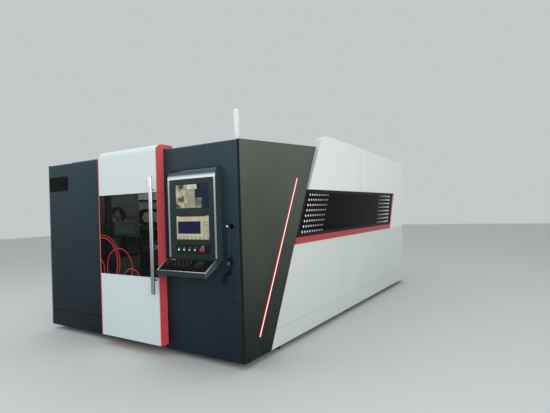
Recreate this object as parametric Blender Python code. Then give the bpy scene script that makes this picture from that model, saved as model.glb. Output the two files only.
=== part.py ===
# Enclosed fiber laser cutting machine with a sliding front door and an operator console.
# Metres, +Z up, the front faces -Y, and the floor is at z = 0.

import math

import bmesh
import bpy
from mathutils import Matrix, Vector

for old in list(bpy.data.objects):
    bpy.data.objects.remove(old, do_unlink=True)

# Gaps and cutters
GAP = 0.0003
SLANT_GAP = 0.0006
SEAM = 0.004
OVERRUN = 0.02
WELD = 0.00001
SHARP = math.radians(35)

# Overall sizes
BODY_WIDTH = 3.44
BODY_LENGTH = 5.60
FLOOR_GAP = 0.07
SHEET = 0.03
ROUND_STEPS = 24
FINE_STEPS = 16
BEND_STEPS = 6
CORNER_STEPS = 4

# Side outline: depths run back from the front face, heights up from the panels' lower edge
WEDGE_FOOT_DEPTH = 0.47
WEDGE_TOP_DEPTH = 1.689
WEDGE_TOP_HEIGHT = 2.357
ROOF_FALL = 0.10
SIDE_SEAM = 0.003

# Keyboard tray
TRAY_REACH = 0.285
TRAY_WIDTH = 0.686
TRAY_DROP = 0.125
TRAY_THICKNESS = 0.05
TRAY_LIP = 0.006

FRONT = -(BODY_LENGTH - TRAY_REACH) / 2
REAR = FRONT + BODY_LENGTH
BASE = FLOOR_GAP
SIDE = BODY_WIDTH / 2
INNER = SIDE - SHEET - GAP
SLANT = (WEDGE_TOP_DEPTH - WEDGE_FOOT_DEPTH) / WEDGE_TOP_HEIGHT
ROOF_FRONT_HEIGHT = WEDGE_TOP_HEIGHT - ROOF_FALL
ROOF_RISE = ROOF_FALL / WEDGE_TOP_DEPTH


def at(depth, height):
    """A side-view point from its depth behind the front face and its height over the panels' lower edge."""
    return (FRONT + depth, BASE + height)


def roof_height(depth):
    return ROOF_FRONT_HEIGHT + ROOF_RISE * depth


def slant_depth(height):
    return WEDGE_FOOT_DEPTH + SLANT * height


# Materials


def linear(channel):
    return channel / 12.92 if channel <= 0.04045 else ((channel + 0.055) / 1.055) ** 2.4


def paint(name, colour, roughness, metallic=0.0, glow=0.0):
    """A Principled material from an sRGB hex colour."""
    red, green, blue = (linear(int(colour[i : i + 2], 16) / 255) for i in (0, 2, 4))
    material = bpy.data.materials.new(name)
    material.use_nodes = True
    material.diffuse_color = (red, green, blue, 1)
    shader = material.node_tree.nodes["Principled BSDF"]
    shader.inputs["Base Color"].default_value = (red, green, blue, 1)
    shader.inputs["Roughness"].default_value = roughness
    shader.inputs["Metallic"].default_value = metallic
    shader.inputs["Emission Color"].default_value = (red, green, blue, 1)
    shader.inputs["Emission Strength"].default_value = glow
    return material


SLATE = paint("slate powder coat", "343D42", 0.5)
WHITE = paint("white powder coat", "E0E6E4", 0.4)
RED = paint("red powder coat", "B8323A", 0.4)
TINTED = paint("dark tinted pane", "0C0F11", 0.08)
BRUSHED = paint("brushed aluminium", "B9BFC2", 0.3, metallic=1.0)
CONSOLE = paint("console lacquer", "2A3234", 0.4)
SCREEN = paint("screen glass", "11161C", 0.1)
BLACK = paint("black plastic", "15171A", 0.45)
STEEL = paint("ground steel", "8D9396", 0.35, metallic=1.0)
BED_GREY = paint("bed paint", "5B6468", 0.55)
GANTRY_WHITE = paint("gantry paint", "C9CECF", 0.45)
LAMP_GREEN = paint("lit green cap", "5FE0A0", 0.3, glow=0.6)
LAMP_PALE = paint("pale cap", "CFDAD6", 0.3)
STOP_RED = paint("stop red", "C9252C", 0.35)
COLLAR_GREY = paint("collar grey", "6E7577", 0.45)
FROSTED = paint("frosted beacon", "F1F4F3", 0.35)
LIGHT_PINK = paint("light strip", "F2C9C4", 0.3, glow=0.8)
CHROME = paint("chrome", "D8DCDD", 0.12, metallic=1.0)


# Modelling helpers

PLANES = {
    "XY": lambda u, v, w: (u, v, w),
    "XZ": lambda u, v, w: (u, w, v),
    "YZ": lambda u, v, w: (w, u, v),
}


def finish(name, mesh, material):
    """An object of this mesh with its origin in the middle of it."""
    low = Vector([min(v.co[i] for v in mesh.vertices) for i in range(3)])
    high = Vector([max(v.co[i] for v in mesh.vertices) for i in range(3)])
    middle = (low + high) / 2
    mesh.transform(Matrix.Translation(-middle))
    mesh.materials.append(material)
    obj = bpy.data.objects.new(name, mesh)
    obj.location = middle
    bpy.context.scene.collection.objects.link(obj)
    return obj


def close(mesh):
    """Welds a mesh and turns its faces outwards."""
    shape = bmesh.new()
    shape.from_mesh(mesh)
    bmesh.ops.remove_doubles(shape, verts=shape.verts, dist=WELD)
    bmesh.ops.recalc_face_normals(shape, faces=shape.faces)
    shape.to_mesh(mesh)
    shape.free()


def flat_shape(outline):
    """A mesh of one face inside the outline, run along the plane's normal by a unit."""
    shape = bmesh.new()
    face = shape.faces.new([shape.verts.new((u, v, -0.5)) for u, v in outline])
    sides = bmesh.ops.extrude_face_region(shape, geom=[face])
    raised = [item for item in sides["geom"] if isinstance(item, bmesh.types.BMVert)]
    bmesh.ops.translate(shape, verts=raised, vec=(0, 0, 1))
    mesh = bpy.data.meshes.new("outline")
    shape.to_mesh(mesh)
    shape.free()
    return mesh


def pierced_shape(outline, holes):
    """The same with holes, from a filled curve."""
    curve = bpy.data.curves.new("outline", "CURVE")
    curve.dimensions = "2D"
    curve.fill_mode = "BOTH"
    curve.extrude = 0.5
    for loop in (outline, *holes):
        spline = curve.splines.new("POLY")
        spline.points.add(len(loop) - 1)
        for point, (u, v) in zip(spline.points, loop):
            point.co = (u, v, 0, 1)
        spline.use_cyclic_u = True
    flat = bpy.data.objects.new("outline", curve)
    mesh = bpy.data.meshes.new_from_object(flat)
    bpy.data.objects.remove(flat)
    return mesh


def prism(name, plane, outline, start, end, material, holes=()):
    """A flat outline in a plane, with any holes in it, run from start to end along the plane's normal."""
    mesh = pierced_shape(outline, holes) if holes else flat_shape(outline)
    mesh.name = name
    for vertex in mesh.vertices:
        u, v, w = vertex.co
        vertex.co = PLANES[plane](u, v, (start + end) / 2 + w * (end - start))
    close(mesh)
    return finish(name, mesh, material)


def block(name, low, high, material):
    """A box between two corners."""
    shape = bmesh.new()
    bmesh.ops.create_cube(shape, size=1)
    size = [b - a for a, b in zip(low, high)]
    middle = [(a + b) / 2 for a, b in zip(low, high)]
    bmesh.ops.scale(shape, verts=shape.verts, vec=size)
    bmesh.ops.translate(shape, verts=shape.verts, vec=middle)
    mesh = bpy.data.meshes.new(name)
    shape.to_mesh(mesh)
    shape.free()
    return finish(name, mesh, material)


TURNS = {
    "+Z": Matrix.Identity(4),
    "-Y": Matrix.Rotation(math.pi / 2, 4, "X"),
}


def turned(name, profile, foot, way, steps, material):
    """A round piece: a profile of (radius, height) points spun about an axis that starts at foot."""
    shape = bmesh.new()
    points = [shape.verts.new((radius, 0, height)) for radius, height in profile]
    edges = [shape.edges.new(pair) for pair in zip(points, points[1:])]
    bmesh.ops.spin(
        shape,
        geom=points + edges,
        cent=(0, 0, 0),
        axis=(0, 0, 1),
        angle=2 * math.pi,
        steps=steps,
        use_merge=True,
    )
    bmesh.ops.remove_doubles(shape, verts=shape.verts, dist=WELD)
    bmesh.ops.recalc_face_normals(shape, faces=shape.faces)
    mesh = bpy.data.meshes.new(name)
    shape.to_mesh(mesh)
    shape.free()
    mesh.transform(Matrix.Translation(foot) @ TURNS[way])
    mesh.set_sharp_from_angle(angle=SHARP)
    for face in mesh.polygons:
        face.use_smooth = True
    return finish(name, mesh, material)


def helper(obj):
    obj.hide_render = True
    obj.display_type = "WIRE"
    return obj


def combine(obj, others, operation):
    for other in others:
        boolean = obj.modifiers.new(other.name, "BOOLEAN")
        boolean.operation = operation
        boolean.solver = "EXACT"
        boolean.object = helper(other)
    return obj


def cut(obj, *others):
    return combine(obj, others, "DIFFERENCE")


def weld_on(obj, *others):
    return combine(obj, others, "UNION")


def soften(obj, width):
    bevel = obj.modifiers.new("bevel", "BEVEL")
    bevel.width = width
    bevel.segments = 2
    bevel.limit_method = "ANGLE"
    bevel.angle_limit = SHARP
    bevel.use_clamp_overlap = True


def arc(centre, radius, start, end, steps):
    """Points on an arc, with its angles in degrees."""
    points = []
    for step in range(steps + 1):
        angle = math.radians(start + (end - start) * step / steps)
        points.append((centre[0] + radius * math.cos(angle), centre[1] + radius * math.sin(angle)))
    return points


def rounded(low, high, radius, steps=CORNER_STEPS):
    """A rectangle's outline with round corners."""
    corners = [
        (high[0] - radius, high[1] - radius, 0),
        (low[0] + radius, high[1] - radius, 90),
        (low[0] + radius, low[1] + radius, 180),
        (high[0] - radius, low[1] + radius, 270),
    ]
    outline = []
    for u, v, start in corners:
        outline += arc((u, v), radius, start, start + 90, steps)
    return outline


def mirrored(points):
    """A right half outline, listed from its foot to its top, closed by its mirror image."""
    return points + [(-u, v) for u, v in reversed(points)]


# Base frame and feet

FRAME_HEIGHT = 0.12
SILL_WIDTH = 0.16
CROSS_WIDTH = 0.16
CROSS_COUNT = 5
FRAME_FRONT = FRONT + SHEET + GAP
FRAME_REAR = REAR - SHEET - GAP


def base_frame():
    bay = (FRAME_REAR - FRAME_FRONT - CROSS_WIDTH) / (CROSS_COUNT - 1)
    reach = INNER - SILL_WIDTH
    holes = []
    for index in range(CROSS_COUNT - 1):
        near = FRAME_FRONT + CROSS_WIDTH + index * bay
        far = near + bay - CROSS_WIDTH
        holes.append([(-reach, near), (reach, near), (reach, far), (-reach, far)])
    outline = [(-INNER, FRAME_FRONT), (INNER, FRAME_FRONT), (INNER, FRAME_REAR), (-INNER, FRAME_REAR)]
    prism("base_frame", "XY", outline, BASE, BASE + FRAME_HEIGHT, BED_GREY, holes)


FOOT_RADIUS = 0.06
FOOT_PLATE = 0.012
FOOT_CONE = 0.024
STEM_RADIUS = 0.013
NUT_RADIUS = 0.024
NUT_THICKNESS = 0.018
FOOT_INSET = 0.11
FOOT_DEPTHS = (0.72, 2.72, 4.72)


def feet():
    top = FLOOR_GAP - GAP
    profile = [
        (0, 0),
        (FOOT_RADIUS, 0),
        (FOOT_RADIUS, FOOT_PLATE),
        (STEM_RADIUS, FOOT_CONE),
        (STEM_RADIUS, top - NUT_THICKNESS),
        (NUT_RADIUS, top - NUT_THICKNESS),
        (NUT_RADIUS, top),
        (0, top),
    ]
    for side, sign in (("left", -1), ("right", 1)):
        for place, depth in zip(("front", "middle", "rear"), FOOT_DEPTHS):
            foot = (sign * (SIDE - FOOT_INSET), FRONT + depth, 0)
            turned(f"foot_{side}_{place}", profile, foot, "+Z", FINE_STEPS, STEEL)


# Machine bed: a trough between two box beams, with a ledge on each beam for the pallet

BED_START = 0.80
BED_LENGTH = 4.50
BED_HALF_WIDTH = 1.20
BED_HEIGHT = 0.80
BEAM_WIDTH = 0.30
TROUGH_FLOOR = 0.04
LEDGE_REACH = 0.09
LEDGE_THICKNESS = 0.05
LEDGE_HEIGHT = 0.60
BED_FOOT = BASE + FRAME_HEIGHT + GAP
BED_FRONT = FRONT + BED_START
BED_REAR = BED_FRONT + BED_LENGTH
BED_TOP = BED_FOOT + BED_HEIGHT
TROUGH_HALF = BED_HALF_WIDTH - BEAM_WIDTH
LEDGE_TOP = BED_FOOT + LEDGE_HEIGHT


def machine_bed():
    half = [
        (BED_HALF_WIDTH, BED_FOOT),
        (BED_HALF_WIDTH, BED_TOP),
        (TROUGH_HALF, BED_TOP),
        (TROUGH_HALF, LEDGE_TOP),
        (TROUGH_HALF - LEDGE_REACH, LEDGE_TOP),
        (TROUGH_HALF - LEDGE_REACH, LEDGE_TOP - LEDGE_THICKNESS),
        (TROUGH_HALF, LEDGE_TOP - LEDGE_THICKNESS - LEDGE_REACH),
        (TROUGH_HALF, BED_FOOT + TROUGH_FLOOR),
    ]
    prism("machine_bed", "XZ", mirrored(half), BED_FRONT, BED_REAR, BED_GREY)


# Gantry rails, with a waist on each side as a profiled rail has

RAIL_WIDTH = 0.045
RAIL_HEIGHT = 0.045
RAIL_WAIST = 0.008
RAIL_X = BED_HALF_WIDTH - BEAM_WIDTH / 2
RAIL_FOOT_SHARE = 0.35
RAIL_HEAD_SHARE = 0.65
RAIL_FOOT = BED_TOP + GAP
RAIL_TOP = RAIL_FOOT + RAIL_HEIGHT
RAIL_INSET = 0.05


def gantry_rails():
    for side, sign in (("left", -1), ("right", 1)):
        half = RAIL_WIDTH / 2
        waist = half - RAIL_WAIST
        profile = [
            (half, RAIL_FOOT),
            (half, RAIL_FOOT + RAIL_FOOT_SHARE * RAIL_HEIGHT),
            (waist, RAIL_FOOT + RAIL_HEIGHT / 2),
            (half, RAIL_FOOT + RAIL_HEAD_SHARE * RAIL_HEIGHT),
            (half, RAIL_TOP),
        ]
        outline = [(sign * RAIL_X + u, v) for u, v in mirrored(profile)]
        near = BED_FRONT + RAIL_INSET
        far = BED_REAR - RAIL_INSET
        prism(f"gantry_rail_{side}", "XZ", outline, near, far, STEEL)


# Gantry: a beam with two guide rails on its rear face and a truck under each end

GANTRY_REST = 1.10
GANTRY_DEPTH = 0.26
GANTRY_HEIGHT = 0.30
GANTRY_CHAMFER = 0.05
TRUCK_LENGTH = 0.46
TRUCK_WIDTH = 0.15
TRUCK_HEIGHT = 0.11
TRUCK_CLEARANCE = 0.003
TRUCK_SKIRT = 0.02
GUIDE_DEPTH = 0.02
GUIDE_HEIGHT = 0.025
GUIDE_INSET = 0.04
GANTRY_Y = FRONT + GANTRY_REST
TRUCK_FOOT = RAIL_TOP + GAP
GANTRY_FOOT = TRUCK_FOOT + TRUCK_HEIGHT - TRUCK_SKIRT
GANTRY_TOP = GANTRY_FOOT + GANTRY_HEIGHT
GANTRY_HALF = RAIL_X + TRUCK_WIDTH / 2
GANTRY_FACE = GANTRY_Y + GANTRY_DEPTH / 2
GUIDE_FACE = GANTRY_FACE + GUIDE_DEPTH
UPPER_GUIDE = GANTRY_TOP - GUIDE_INSET
LOWER_GUIDE = GANTRY_FOOT + GUIDE_INSET


def gantry_beam():
    back = GANTRY_Y - GANTRY_DEPTH / 2
    outline = [
        (back + GANTRY_CHAMFER, GANTRY_FOOT),
        (GANTRY_FACE, GANTRY_FOOT),
        (GANTRY_FACE, LOWER_GUIDE),
        (GUIDE_FACE, LOWER_GUIDE),
        (GUIDE_FACE, LOWER_GUIDE + GUIDE_HEIGHT),
        (GANTRY_FACE, LOWER_GUIDE + GUIDE_HEIGHT),
        (GANTRY_FACE, UPPER_GUIDE - GUIDE_HEIGHT),
        (GUIDE_FACE, UPPER_GUIDE - GUIDE_HEIGHT),
        (GUIDE_FACE, UPPER_GUIDE),
        (GANTRY_FACE, UPPER_GUIDE),
        (GANTRY_FACE, GANTRY_TOP),
        (back + GANTRY_CHAMFER, GANTRY_TOP),
        (back, GANTRY_TOP - GANTRY_CHAMFER),
        (back, GANTRY_FOOT + GANTRY_CHAMFER),
    ]
    beam = prism("gantry_beam", "YZ", outline, -GANTRY_HALF, GANTRY_HALF, GANTRY_WHITE)
    trucks = []
    for side, sign in (("left", -1), ("right", 1)):
        half = TRUCK_WIDTH / 2
        slot = RAIL_WIDTH / 2 + TRUCK_CLEARANCE
        profile = [
            (half, TRUCK_FOOT - TRUCK_SKIRT),
            (half, TRUCK_FOOT - TRUCK_SKIRT + TRUCK_HEIGHT + OVERRUN),
            (-half, TRUCK_FOOT - TRUCK_SKIRT + TRUCK_HEIGHT + OVERRUN),
            (-half, TRUCK_FOOT - TRUCK_SKIRT),
            (-slot, TRUCK_FOOT - TRUCK_SKIRT),
            (-slot, TRUCK_FOOT),
            (slot, TRUCK_FOOT),
            (slot, TRUCK_FOOT - TRUCK_SKIRT),
        ]
        outline = [(sign * RAIL_X + u, v) for u, v in profile]
        near = GANTRY_Y - TRUCK_LENGTH / 2
        trucks.append(
            prism(f"truck_{side}_helper", "XZ", outline, near, near + TRUCK_LENGTH, GANTRY_WHITE)
        )
    weld_on(beam, *trucks)


# Carriage: a plate that hooks over both guides, with a groove for the head and an arm for the cable chain

CARRIAGE_X = 0.0
CARRIAGE_WIDTH = 0.36
CARRIAGE_PLATE = 0.045
CARRIAGE_ARM = 0.012
ARM_LIFT = 0.20
GROOVE_WIDTH = 0.12
GROOVE_DEPTH = 0.015
CARRIAGE_FACE = GUIDE_FACE + GAP + CARRIAGE_PLATE
CARRIAGE_TOP = GANTRY_TOP + ARM_LIFT
ARM_REACH = GANTRY_DEPTH / 2


def carriage():
    near = GUIDE_FACE + GAP
    arm = CARRIAGE_TOP - CARRIAGE_ARM
    foot = GANTRY_FOOT
    lips = []
    for low in (LOWER_GUIDE, UPPER_GUIDE - GUIDE_HEIGHT):
        high = low + GUIDE_HEIGHT
        lips += [
            (GANTRY_FACE + TRUCK_CLEARANCE, low - GUIDE_HEIGHT / 2),
            (GANTRY_FACE + TRUCK_CLEARANCE, low - GAP),
            (near, low - GAP),
            (near, high + GAP),
            (GANTRY_FACE + TRUCK_CLEARANCE, high + GAP),
            (GANTRY_FACE + TRUCK_CLEARANCE, high + GUIDE_HEIGHT / 2),
            (near, high + GUIDE_HEIGHT / 2),
        ]
        if low == LOWER_GUIDE:
            lips.append((near, UPPER_GUIDE - GUIDE_HEIGHT - GUIDE_HEIGHT / 2))
    outline = [(near, foot), (near, LOWER_GUIDE - GUIDE_HEIGHT / 2)]
    outline += lips
    outline += [
        (near, arm),
        (GANTRY_Y - ARM_REACH / 2, arm),
        (GANTRY_Y - ARM_REACH / 2, CARRIAGE_TOP),
        (CARRIAGE_FACE, CARRIAGE_TOP),
        (CARRIAGE_FACE, foot),
    ]
    low = CARRIAGE_X - CARRIAGE_WIDTH / 2
    plate = prism("carriage", "YZ", outline, low, low + CARRIAGE_WIDTH, BED_GREY)
    groove = block(
        "groove_helper",
        (CARRIAGE_X - GROOVE_WIDTH / 2, CARRIAGE_FACE - GROOVE_DEPTH, foot - OVERRUN),
        (CARRIAGE_X + GROOVE_WIDTH / 2, CARRIAGE_FACE + OVERRUN, CARRIAGE_TOP + OVERRUN),
        BED_GREY,
    )
    cut(plate, groove)


# Cutting head: a slide plate with a tongue, a body with a tapered end, and a nozzle

HEAD_TRAVEL = 0.12
HEAD_BODY_WIDTH = 0.13
HEAD_BODY_DEPTH = 0.14
HEAD_BODY_HEIGHT = 0.34
HEAD_CHAMFER = 0.03
HEAD_TAPER = 0.10
HEAD_WAIST_RADIUS = 0.028
NOZZLE_LENGTH = 0.05
NOZZLE_TIP_RADIUS = 0.006
NOZZLE_CLEARANCE = 0.02
TONGUE_CLEARANCE = 0.001
COLLIMATOR_RADIUS = 0.035
COLLIMATOR_HEIGHT = 0.16
COLLIMATOR_NECK_SHARE = 0.75
HEAD_BACK = CARRIAGE_FACE + GAP

# Slatted pallet

PALLET_START = 1.35
PALLET_LENGTH = 3.20
PALLET_SIDE_GAP = 0.02
PALLET_RAIL_WIDTH = 0.08
PALLET_RAIL_HEIGHT = 0.11
SLAT_COUNT = 18
SLAT_THICKNESS = 0.008
SLAT_HEIGHT = 0.10
SLAT_RISE = 0.05
TOOTH_COUNT = 20
TOOTH_DEPTH = 0.025
PALLET_HALF = TROUGH_HALF - PALLET_SIDE_GAP
PALLET_FRONT = FRONT + PALLET_START
PALLET_FOOT = LEDGE_TOP + GAP
SLAT_TOP = PALLET_FOOT + PALLET_RAIL_HEIGHT + SLAT_RISE

NOZZLE_TIP = SLAT_TOP + NOZZLE_CLEARANCE + HEAD_TRAVEL
HEAD_BODY_FOOT = NOZZLE_TIP + NOZZLE_LENGTH + HEAD_TAPER


def cutting_head():
    half = HEAD_BODY_WIDTH / 2
    tongue = GROOVE_WIDTH / 2 - TONGUE_CLEARANCE
    face = HEAD_BACK + HEAD_BODY_DEPTH
    outline = [
        (half, HEAD_BACK),
        (half, face - HEAD_CHAMFER),
        (half - HEAD_CHAMFER, face),
        (HEAD_CHAMFER - half, face),
        (-half, face - HEAD_CHAMFER),
        (-half, HEAD_BACK),
        (-tongue, HEAD_BACK),
        (-tongue, CARRIAGE_FACE - GROOVE_DEPTH + GAP),
        (tongue, CARRIAGE_FACE - GROOVE_DEPTH + GAP),
        (tongue, HEAD_BACK),
    ]
    outline = [(CARRIAGE_X + u, v) for u, v in outline]
    top = HEAD_BODY_FOOT + HEAD_BODY_HEIGHT
    body = prism("cutting_head", "XY", outline, HEAD_BODY_FOOT, top, GANTRY_WHITE)
    axis = (CARRIAGE_X, (HEAD_BACK + face) / 2, NOZZLE_TIP)
    shoulder = NOZZLE_LENGTH + HEAD_TAPER
    profile = [
        (0, 0),
        (NOZZLE_TIP_RADIUS, 0),
        (HEAD_WAIST_RADIUS / 2, NOZZLE_LENGTH / 2),
        (HEAD_WAIST_RADIUS, NOZZLE_LENGTH),
        (HEAD_WAIST_RADIUS, shoulder - HEAD_TAPER / 2),
        (half - HEAD_CHAMFER / 2, shoulder),
        (half - HEAD_CHAMFER / 2, shoulder + OVERRUN),
        (0, shoulder + OVERRUN),
    ]
    tip = turned("nozzle_helper", profile, axis, "+Z", FINE_STEPS, GANTRY_WHITE)
    rise = shoulder + HEAD_BODY_HEIGHT
    profile = [
        (0, rise - OVERRUN),
        (COLLIMATOR_RADIUS, rise - OVERRUN),
        (COLLIMATOR_RADIUS, rise + COLLIMATOR_HEIGHT / 2),
        (COLLIMATOR_RADIUS / 2, rise + COLLIMATOR_HEIGHT * COLLIMATOR_NECK_SHARE),
        (COLLIMATOR_RADIUS / 2, rise + COLLIMATOR_HEIGHT),
        (0, rise + COLLIMATOR_HEIGHT),
    ]
    collimator = turned("collimator_helper", profile, axis, "+Z", FINE_STEPS, GANTRY_WHITE)
    weld_on(body, tip, collimator)


def pallet():
    rear = PALLET_FRONT + PALLET_LENGTH
    outer = [
        (-PALLET_HALF, PALLET_FRONT),
        (PALLET_HALF, PALLET_FRONT),
        (PALLET_HALF, rear),
        (-PALLET_HALF, rear),
    ]
    reach = PALLET_HALF - PALLET_RAIL_WIDTH
    near = PALLET_FRONT + PALLET_RAIL_WIDTH
    far = rear - PALLET_RAIL_WIDTH
    inner = [(-reach, near), (reach, near), (reach, far), (-reach, far)]
    frame_top = PALLET_FOOT + PALLET_RAIL_HEIGHT
    frame = prism("slatted_pallet", "XY", outer, PALLET_FOOT, frame_top, STEEL, [inner])
    half = reach + PALLET_RAIL_WIDTH / 2
    foot = SLAT_TOP - SLAT_HEIGHT
    tooth = 2 * half / TOOTH_COUNT
    teeth = [(half, SLAT_TOP - TOOTH_DEPTH)]
    for index in range(TOOTH_COUNT):
        right = half - index * tooth
        teeth.append((right - tooth / 2, SLAT_TOP))
        teeth.append((right - tooth, SLAT_TOP - TOOTH_DEPTH))
    outline = [(-half, foot), (half, foot)] + teeth
    pitch = (far - near) / SLAT_COUNT
    slats = []
    for index in range(SLAT_COUNT):
        middle = near + index * pitch + pitch / 2
        start = middle - SLAT_THICKNESS / 2
        slats.append(
            prism(f"slat_{index}_helper", "XZ", outline, start, start + SLAT_THICKNESS, STEEL)
        )
    weld_on(frame, *slats)


# Cable chain: links along a run on the beam, a bend and a run back to the carriage's arm

CHAIN_WIDTH = 0.07
CHAIN_HEIGHT = 0.045
CHAIN_NECK_SHARE = 0.7
CHAIN_SHOULDER_SHARE = 0.15
CHAIN_PITCH = 0.05
CHAIN_RUN = 0.85
CHAIN_BEND_X = -0.98
CHAIN_END_INSET = 0.01
CHAIN_Y = GANTRY_Y - ARM_REACH / 4


def chain_path():
    """The chain's middle points in the XZ plane, with their angles, from the beam to the carriage's arm."""
    low = GANTRY_TOP + GAP + CHAIN_HEIGHT / 2
    high = CARRIAGE_TOP + GAP + CHAIN_HEIGHT / 2
    radius = (high - low) / 2
    end = CARRIAGE_X + CARRIAGE_WIDTH / 2 - CHAIN_END_INSET
    stations = []
    for index in range(int(CHAIN_RUN / CHAIN_PITCH) + 1):
        stations.append((CHAIN_BEND_X + CHAIN_RUN - index * CHAIN_PITCH, low, math.pi))
    bend = round(math.pi * radius / CHAIN_PITCH)
    for index in range(1, bend + 1):
        turn = math.pi * index / bend
        x = CHAIN_BEND_X - radius * math.sin(turn)
        stations.append((x, low + radius - radius * math.cos(turn), math.pi - turn))
    count = math.ceil((end - CHAIN_BEND_X) / CHAIN_PITCH)
    for index in range(1, count + 1):
        stations.append((CHAIN_BEND_X + (end - CHAIN_BEND_X) * index / count, high, 0))
    return stations


def cable_chain():
    stations = chain_path()
    shape = bmesh.new()
    rings = []
    for index, (x, z, turn) in enumerate(stations[:-1]):
        x_next, z_next, turn_next = stations[index + 1]
        shoulder = CHAIN_SHOULDER_SHARE
        for share, scale in ((0, CHAIN_NECK_SHARE), (shoulder, 1), (1 - shoulder, 1)):
            angle = turn + (turn_next - turn) * share
            centre = Vector((x + (x_next - x) * share, CHAIN_Y, z + (z_next - z) * share))
            side = Vector((0, CHAIN_WIDTH / 2 * scale, 0))
            rise = Vector((-math.sin(angle), 0, math.cos(angle))) * (CHAIN_HEIGHT / 2 * scale)
            corners = (side + rise, rise - side, -side - rise, side - rise)
            rings.append([shape.verts.new(centre + corner) for corner in corners])
    for ring, after in zip(rings, rings[1:]):
        for index in range(4):
            following = (index + 1) % 4
            shape.faces.new((ring[index], ring[following], after[following], after[index]))
    shape.faces.new(rings[0])
    shape.faces.new(rings[-1])
    bmesh.ops.recalc_face_normals(shape, faces=shape.faces)
    mesh = bpy.data.meshes.new("cable_chain")
    shape.to_mesh(mesh)
    shape.free()
    finish("cable_chain", mesh, BLACK)


# Front cabinets under one roof

CABINET_DEPTH = 0.46
ROOF_SHEET = 0.03
ROOF_ROLL = 0.022
CONSOLE_CABINET_WIDTH = 1.12
LEFT_CABINET_WIDTH = 1.36
KICK_HEIGHT = 0.22
KICK_GROOVE = 0.004


def cabinet_outline(groove):
    top_rear = roof_height(CABINET_DEPTH) - ROOF_SHEET - GAP
    top_front = ROOF_FRONT_HEIGHT - ROOF_SHEET - GAP
    outline = [at(0, 0), at(SHEET, 0), at(SHEET, FRAME_HEIGHT + GAP)]
    outline += [at(CABINET_DEPTH, FRAME_HEIGHT + GAP), at(CABINET_DEPTH, top_rear), at(0, top_front)]
    if groove:
        outline += [
            at(0, KICK_HEIGHT + KICK_GROOVE),
            at(KICK_GROOVE, KICK_HEIGHT + KICK_GROOVE),
            at(KICK_GROOVE, KICK_HEIGHT),
            at(0, KICK_HEIGHT),
        ]
    return outline


def cabinets():
    doorway_left = LEFT_CABINET_WIDTH - SIDE
    doorway_right = SIDE - CONSOLE_CABINET_WIDTH
    prism("left_cabinet", "YZ", cabinet_outline(True), -INNER, doorway_left, SLATE)
    prism("console_cabinet", "YZ", cabinet_outline(False), doorway_right, INNER, SLATE)


def front_roof():
    depth = WEDGE_TOP_DEPTH
    low = ROOF_FRONT_HEIGHT - ROOF_SHEET
    outline = [at(depth, roof_height(depth) - ROOF_SHEET), at(depth, roof_height(depth))]
    outline += arc(at(ROOF_ROLL, roof_height(ROOF_ROLL) - ROOF_ROLL), ROOF_ROLL, 90, 180, CORNER_STEPS)
    outline.append(at(0, low))
    prism("front_roof", "YZ", outline, -INNER, INNER, SLATE)


PLATE_WIDTH = 0.444
PLATE_HEIGHT = 0.199
PLATE_FOOT = 1.884
PLATE_INSET = 0.02
PLATE_THICKNESS = 0.006
PLATE_ROUND = 0.035


def name_plate():
    left = PLATE_INSET - SIDE
    right = left + PLATE_WIDTH
    low = BASE + PLATE_FOOT
    high = low + PLATE_HEIGHT
    outline = [(left, high), (left, low)]
    outline += arc((right - PLATE_ROUND, low + PLATE_ROUND), PLATE_ROUND, 270, 360, CORNER_STEPS)
    outline += arc((right - PLATE_ROUND, high - PLATE_ROUND), PLATE_ROUND, 0, 90, CORNER_STEPS)
    back = FRONT - GAP
    prism("name_plate", "XZ", outline, back - PLATE_THICKNESS, back, BLACK)


# Side plates, panels and windows

LOWER_PANEL_HEIGHT = 1.104
BAND_HEIGHT = 0.08
BAND_PROUD = 0.008
BAND_LEG = 0.024
WINDOW_TOP = 1.78
REAR_PILLAR_FOOT = 0.844
REAR_PILLAR_TOP = 0.616
PANE_THICKNESS = 0.012
PANE_SETBACK = 0.004
PEAK_STEP = 0.241
PEAK_RISE = 0.167
CORNER_STEP = 0.051
CORNER_RISE = 0.09
REAR_TOP_RISE = 0.06
PANEL_PROUD = 0.004
PANEL_LEAN = 0.039
SIDES = (("left", -1), ("right", 1))
SILL_TOP = LOWER_PANEL_HEIGHT + BAND_HEIGHT
WINDOW_REAR_FOOT = BODY_LENGTH - REAR_PILLAR_FOOT
WINDOW_SLANT = (REAR_PILLAR_FOOT - REAR_PILLAR_TOP) / (WINDOW_TOP - SILL_TOP)
PEAK_DEPTH = WEDGE_TOP_DEPTH + PEAK_STEP
PEAK_HEIGHT = WEDGE_TOP_HEIGHT + PEAK_RISE
CORNER_DEPTH = WEDGE_TOP_DEPTH + CORNER_STEP
CORNER_HEIGHT = WEDGE_TOP_HEIGHT + CORNER_RISE
REAR_TOP_HEIGHT = WEDGE_TOP_HEIGHT + REAR_TOP_RISE


def side_prism(name, sign, outline, inside, outside, material):
    """A side panel between two distances from the middle plane, on either side."""
    start, end = sorted((sign * inside, sign * outside))
    return prism(name, "YZ", outline, start, end, material)


def window_rear(height):
    return WINDOW_REAR_FOOT + WINDOW_SLANT * (height - SILL_TOP)


def wedge_plates():
    outline = [
        at(0, 0),
        at(WEDGE_FOOT_DEPTH, 0),
        at(WEDGE_TOP_DEPTH, WEDGE_TOP_HEIGHT),
        at(0, ROOF_FRONT_HEIGHT),
    ]
    for side, sign in SIDES:
        side_prism(f"{side}_wedge_plate", sign, outline, SIDE - SHEET, SIDE, SLATE)


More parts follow.
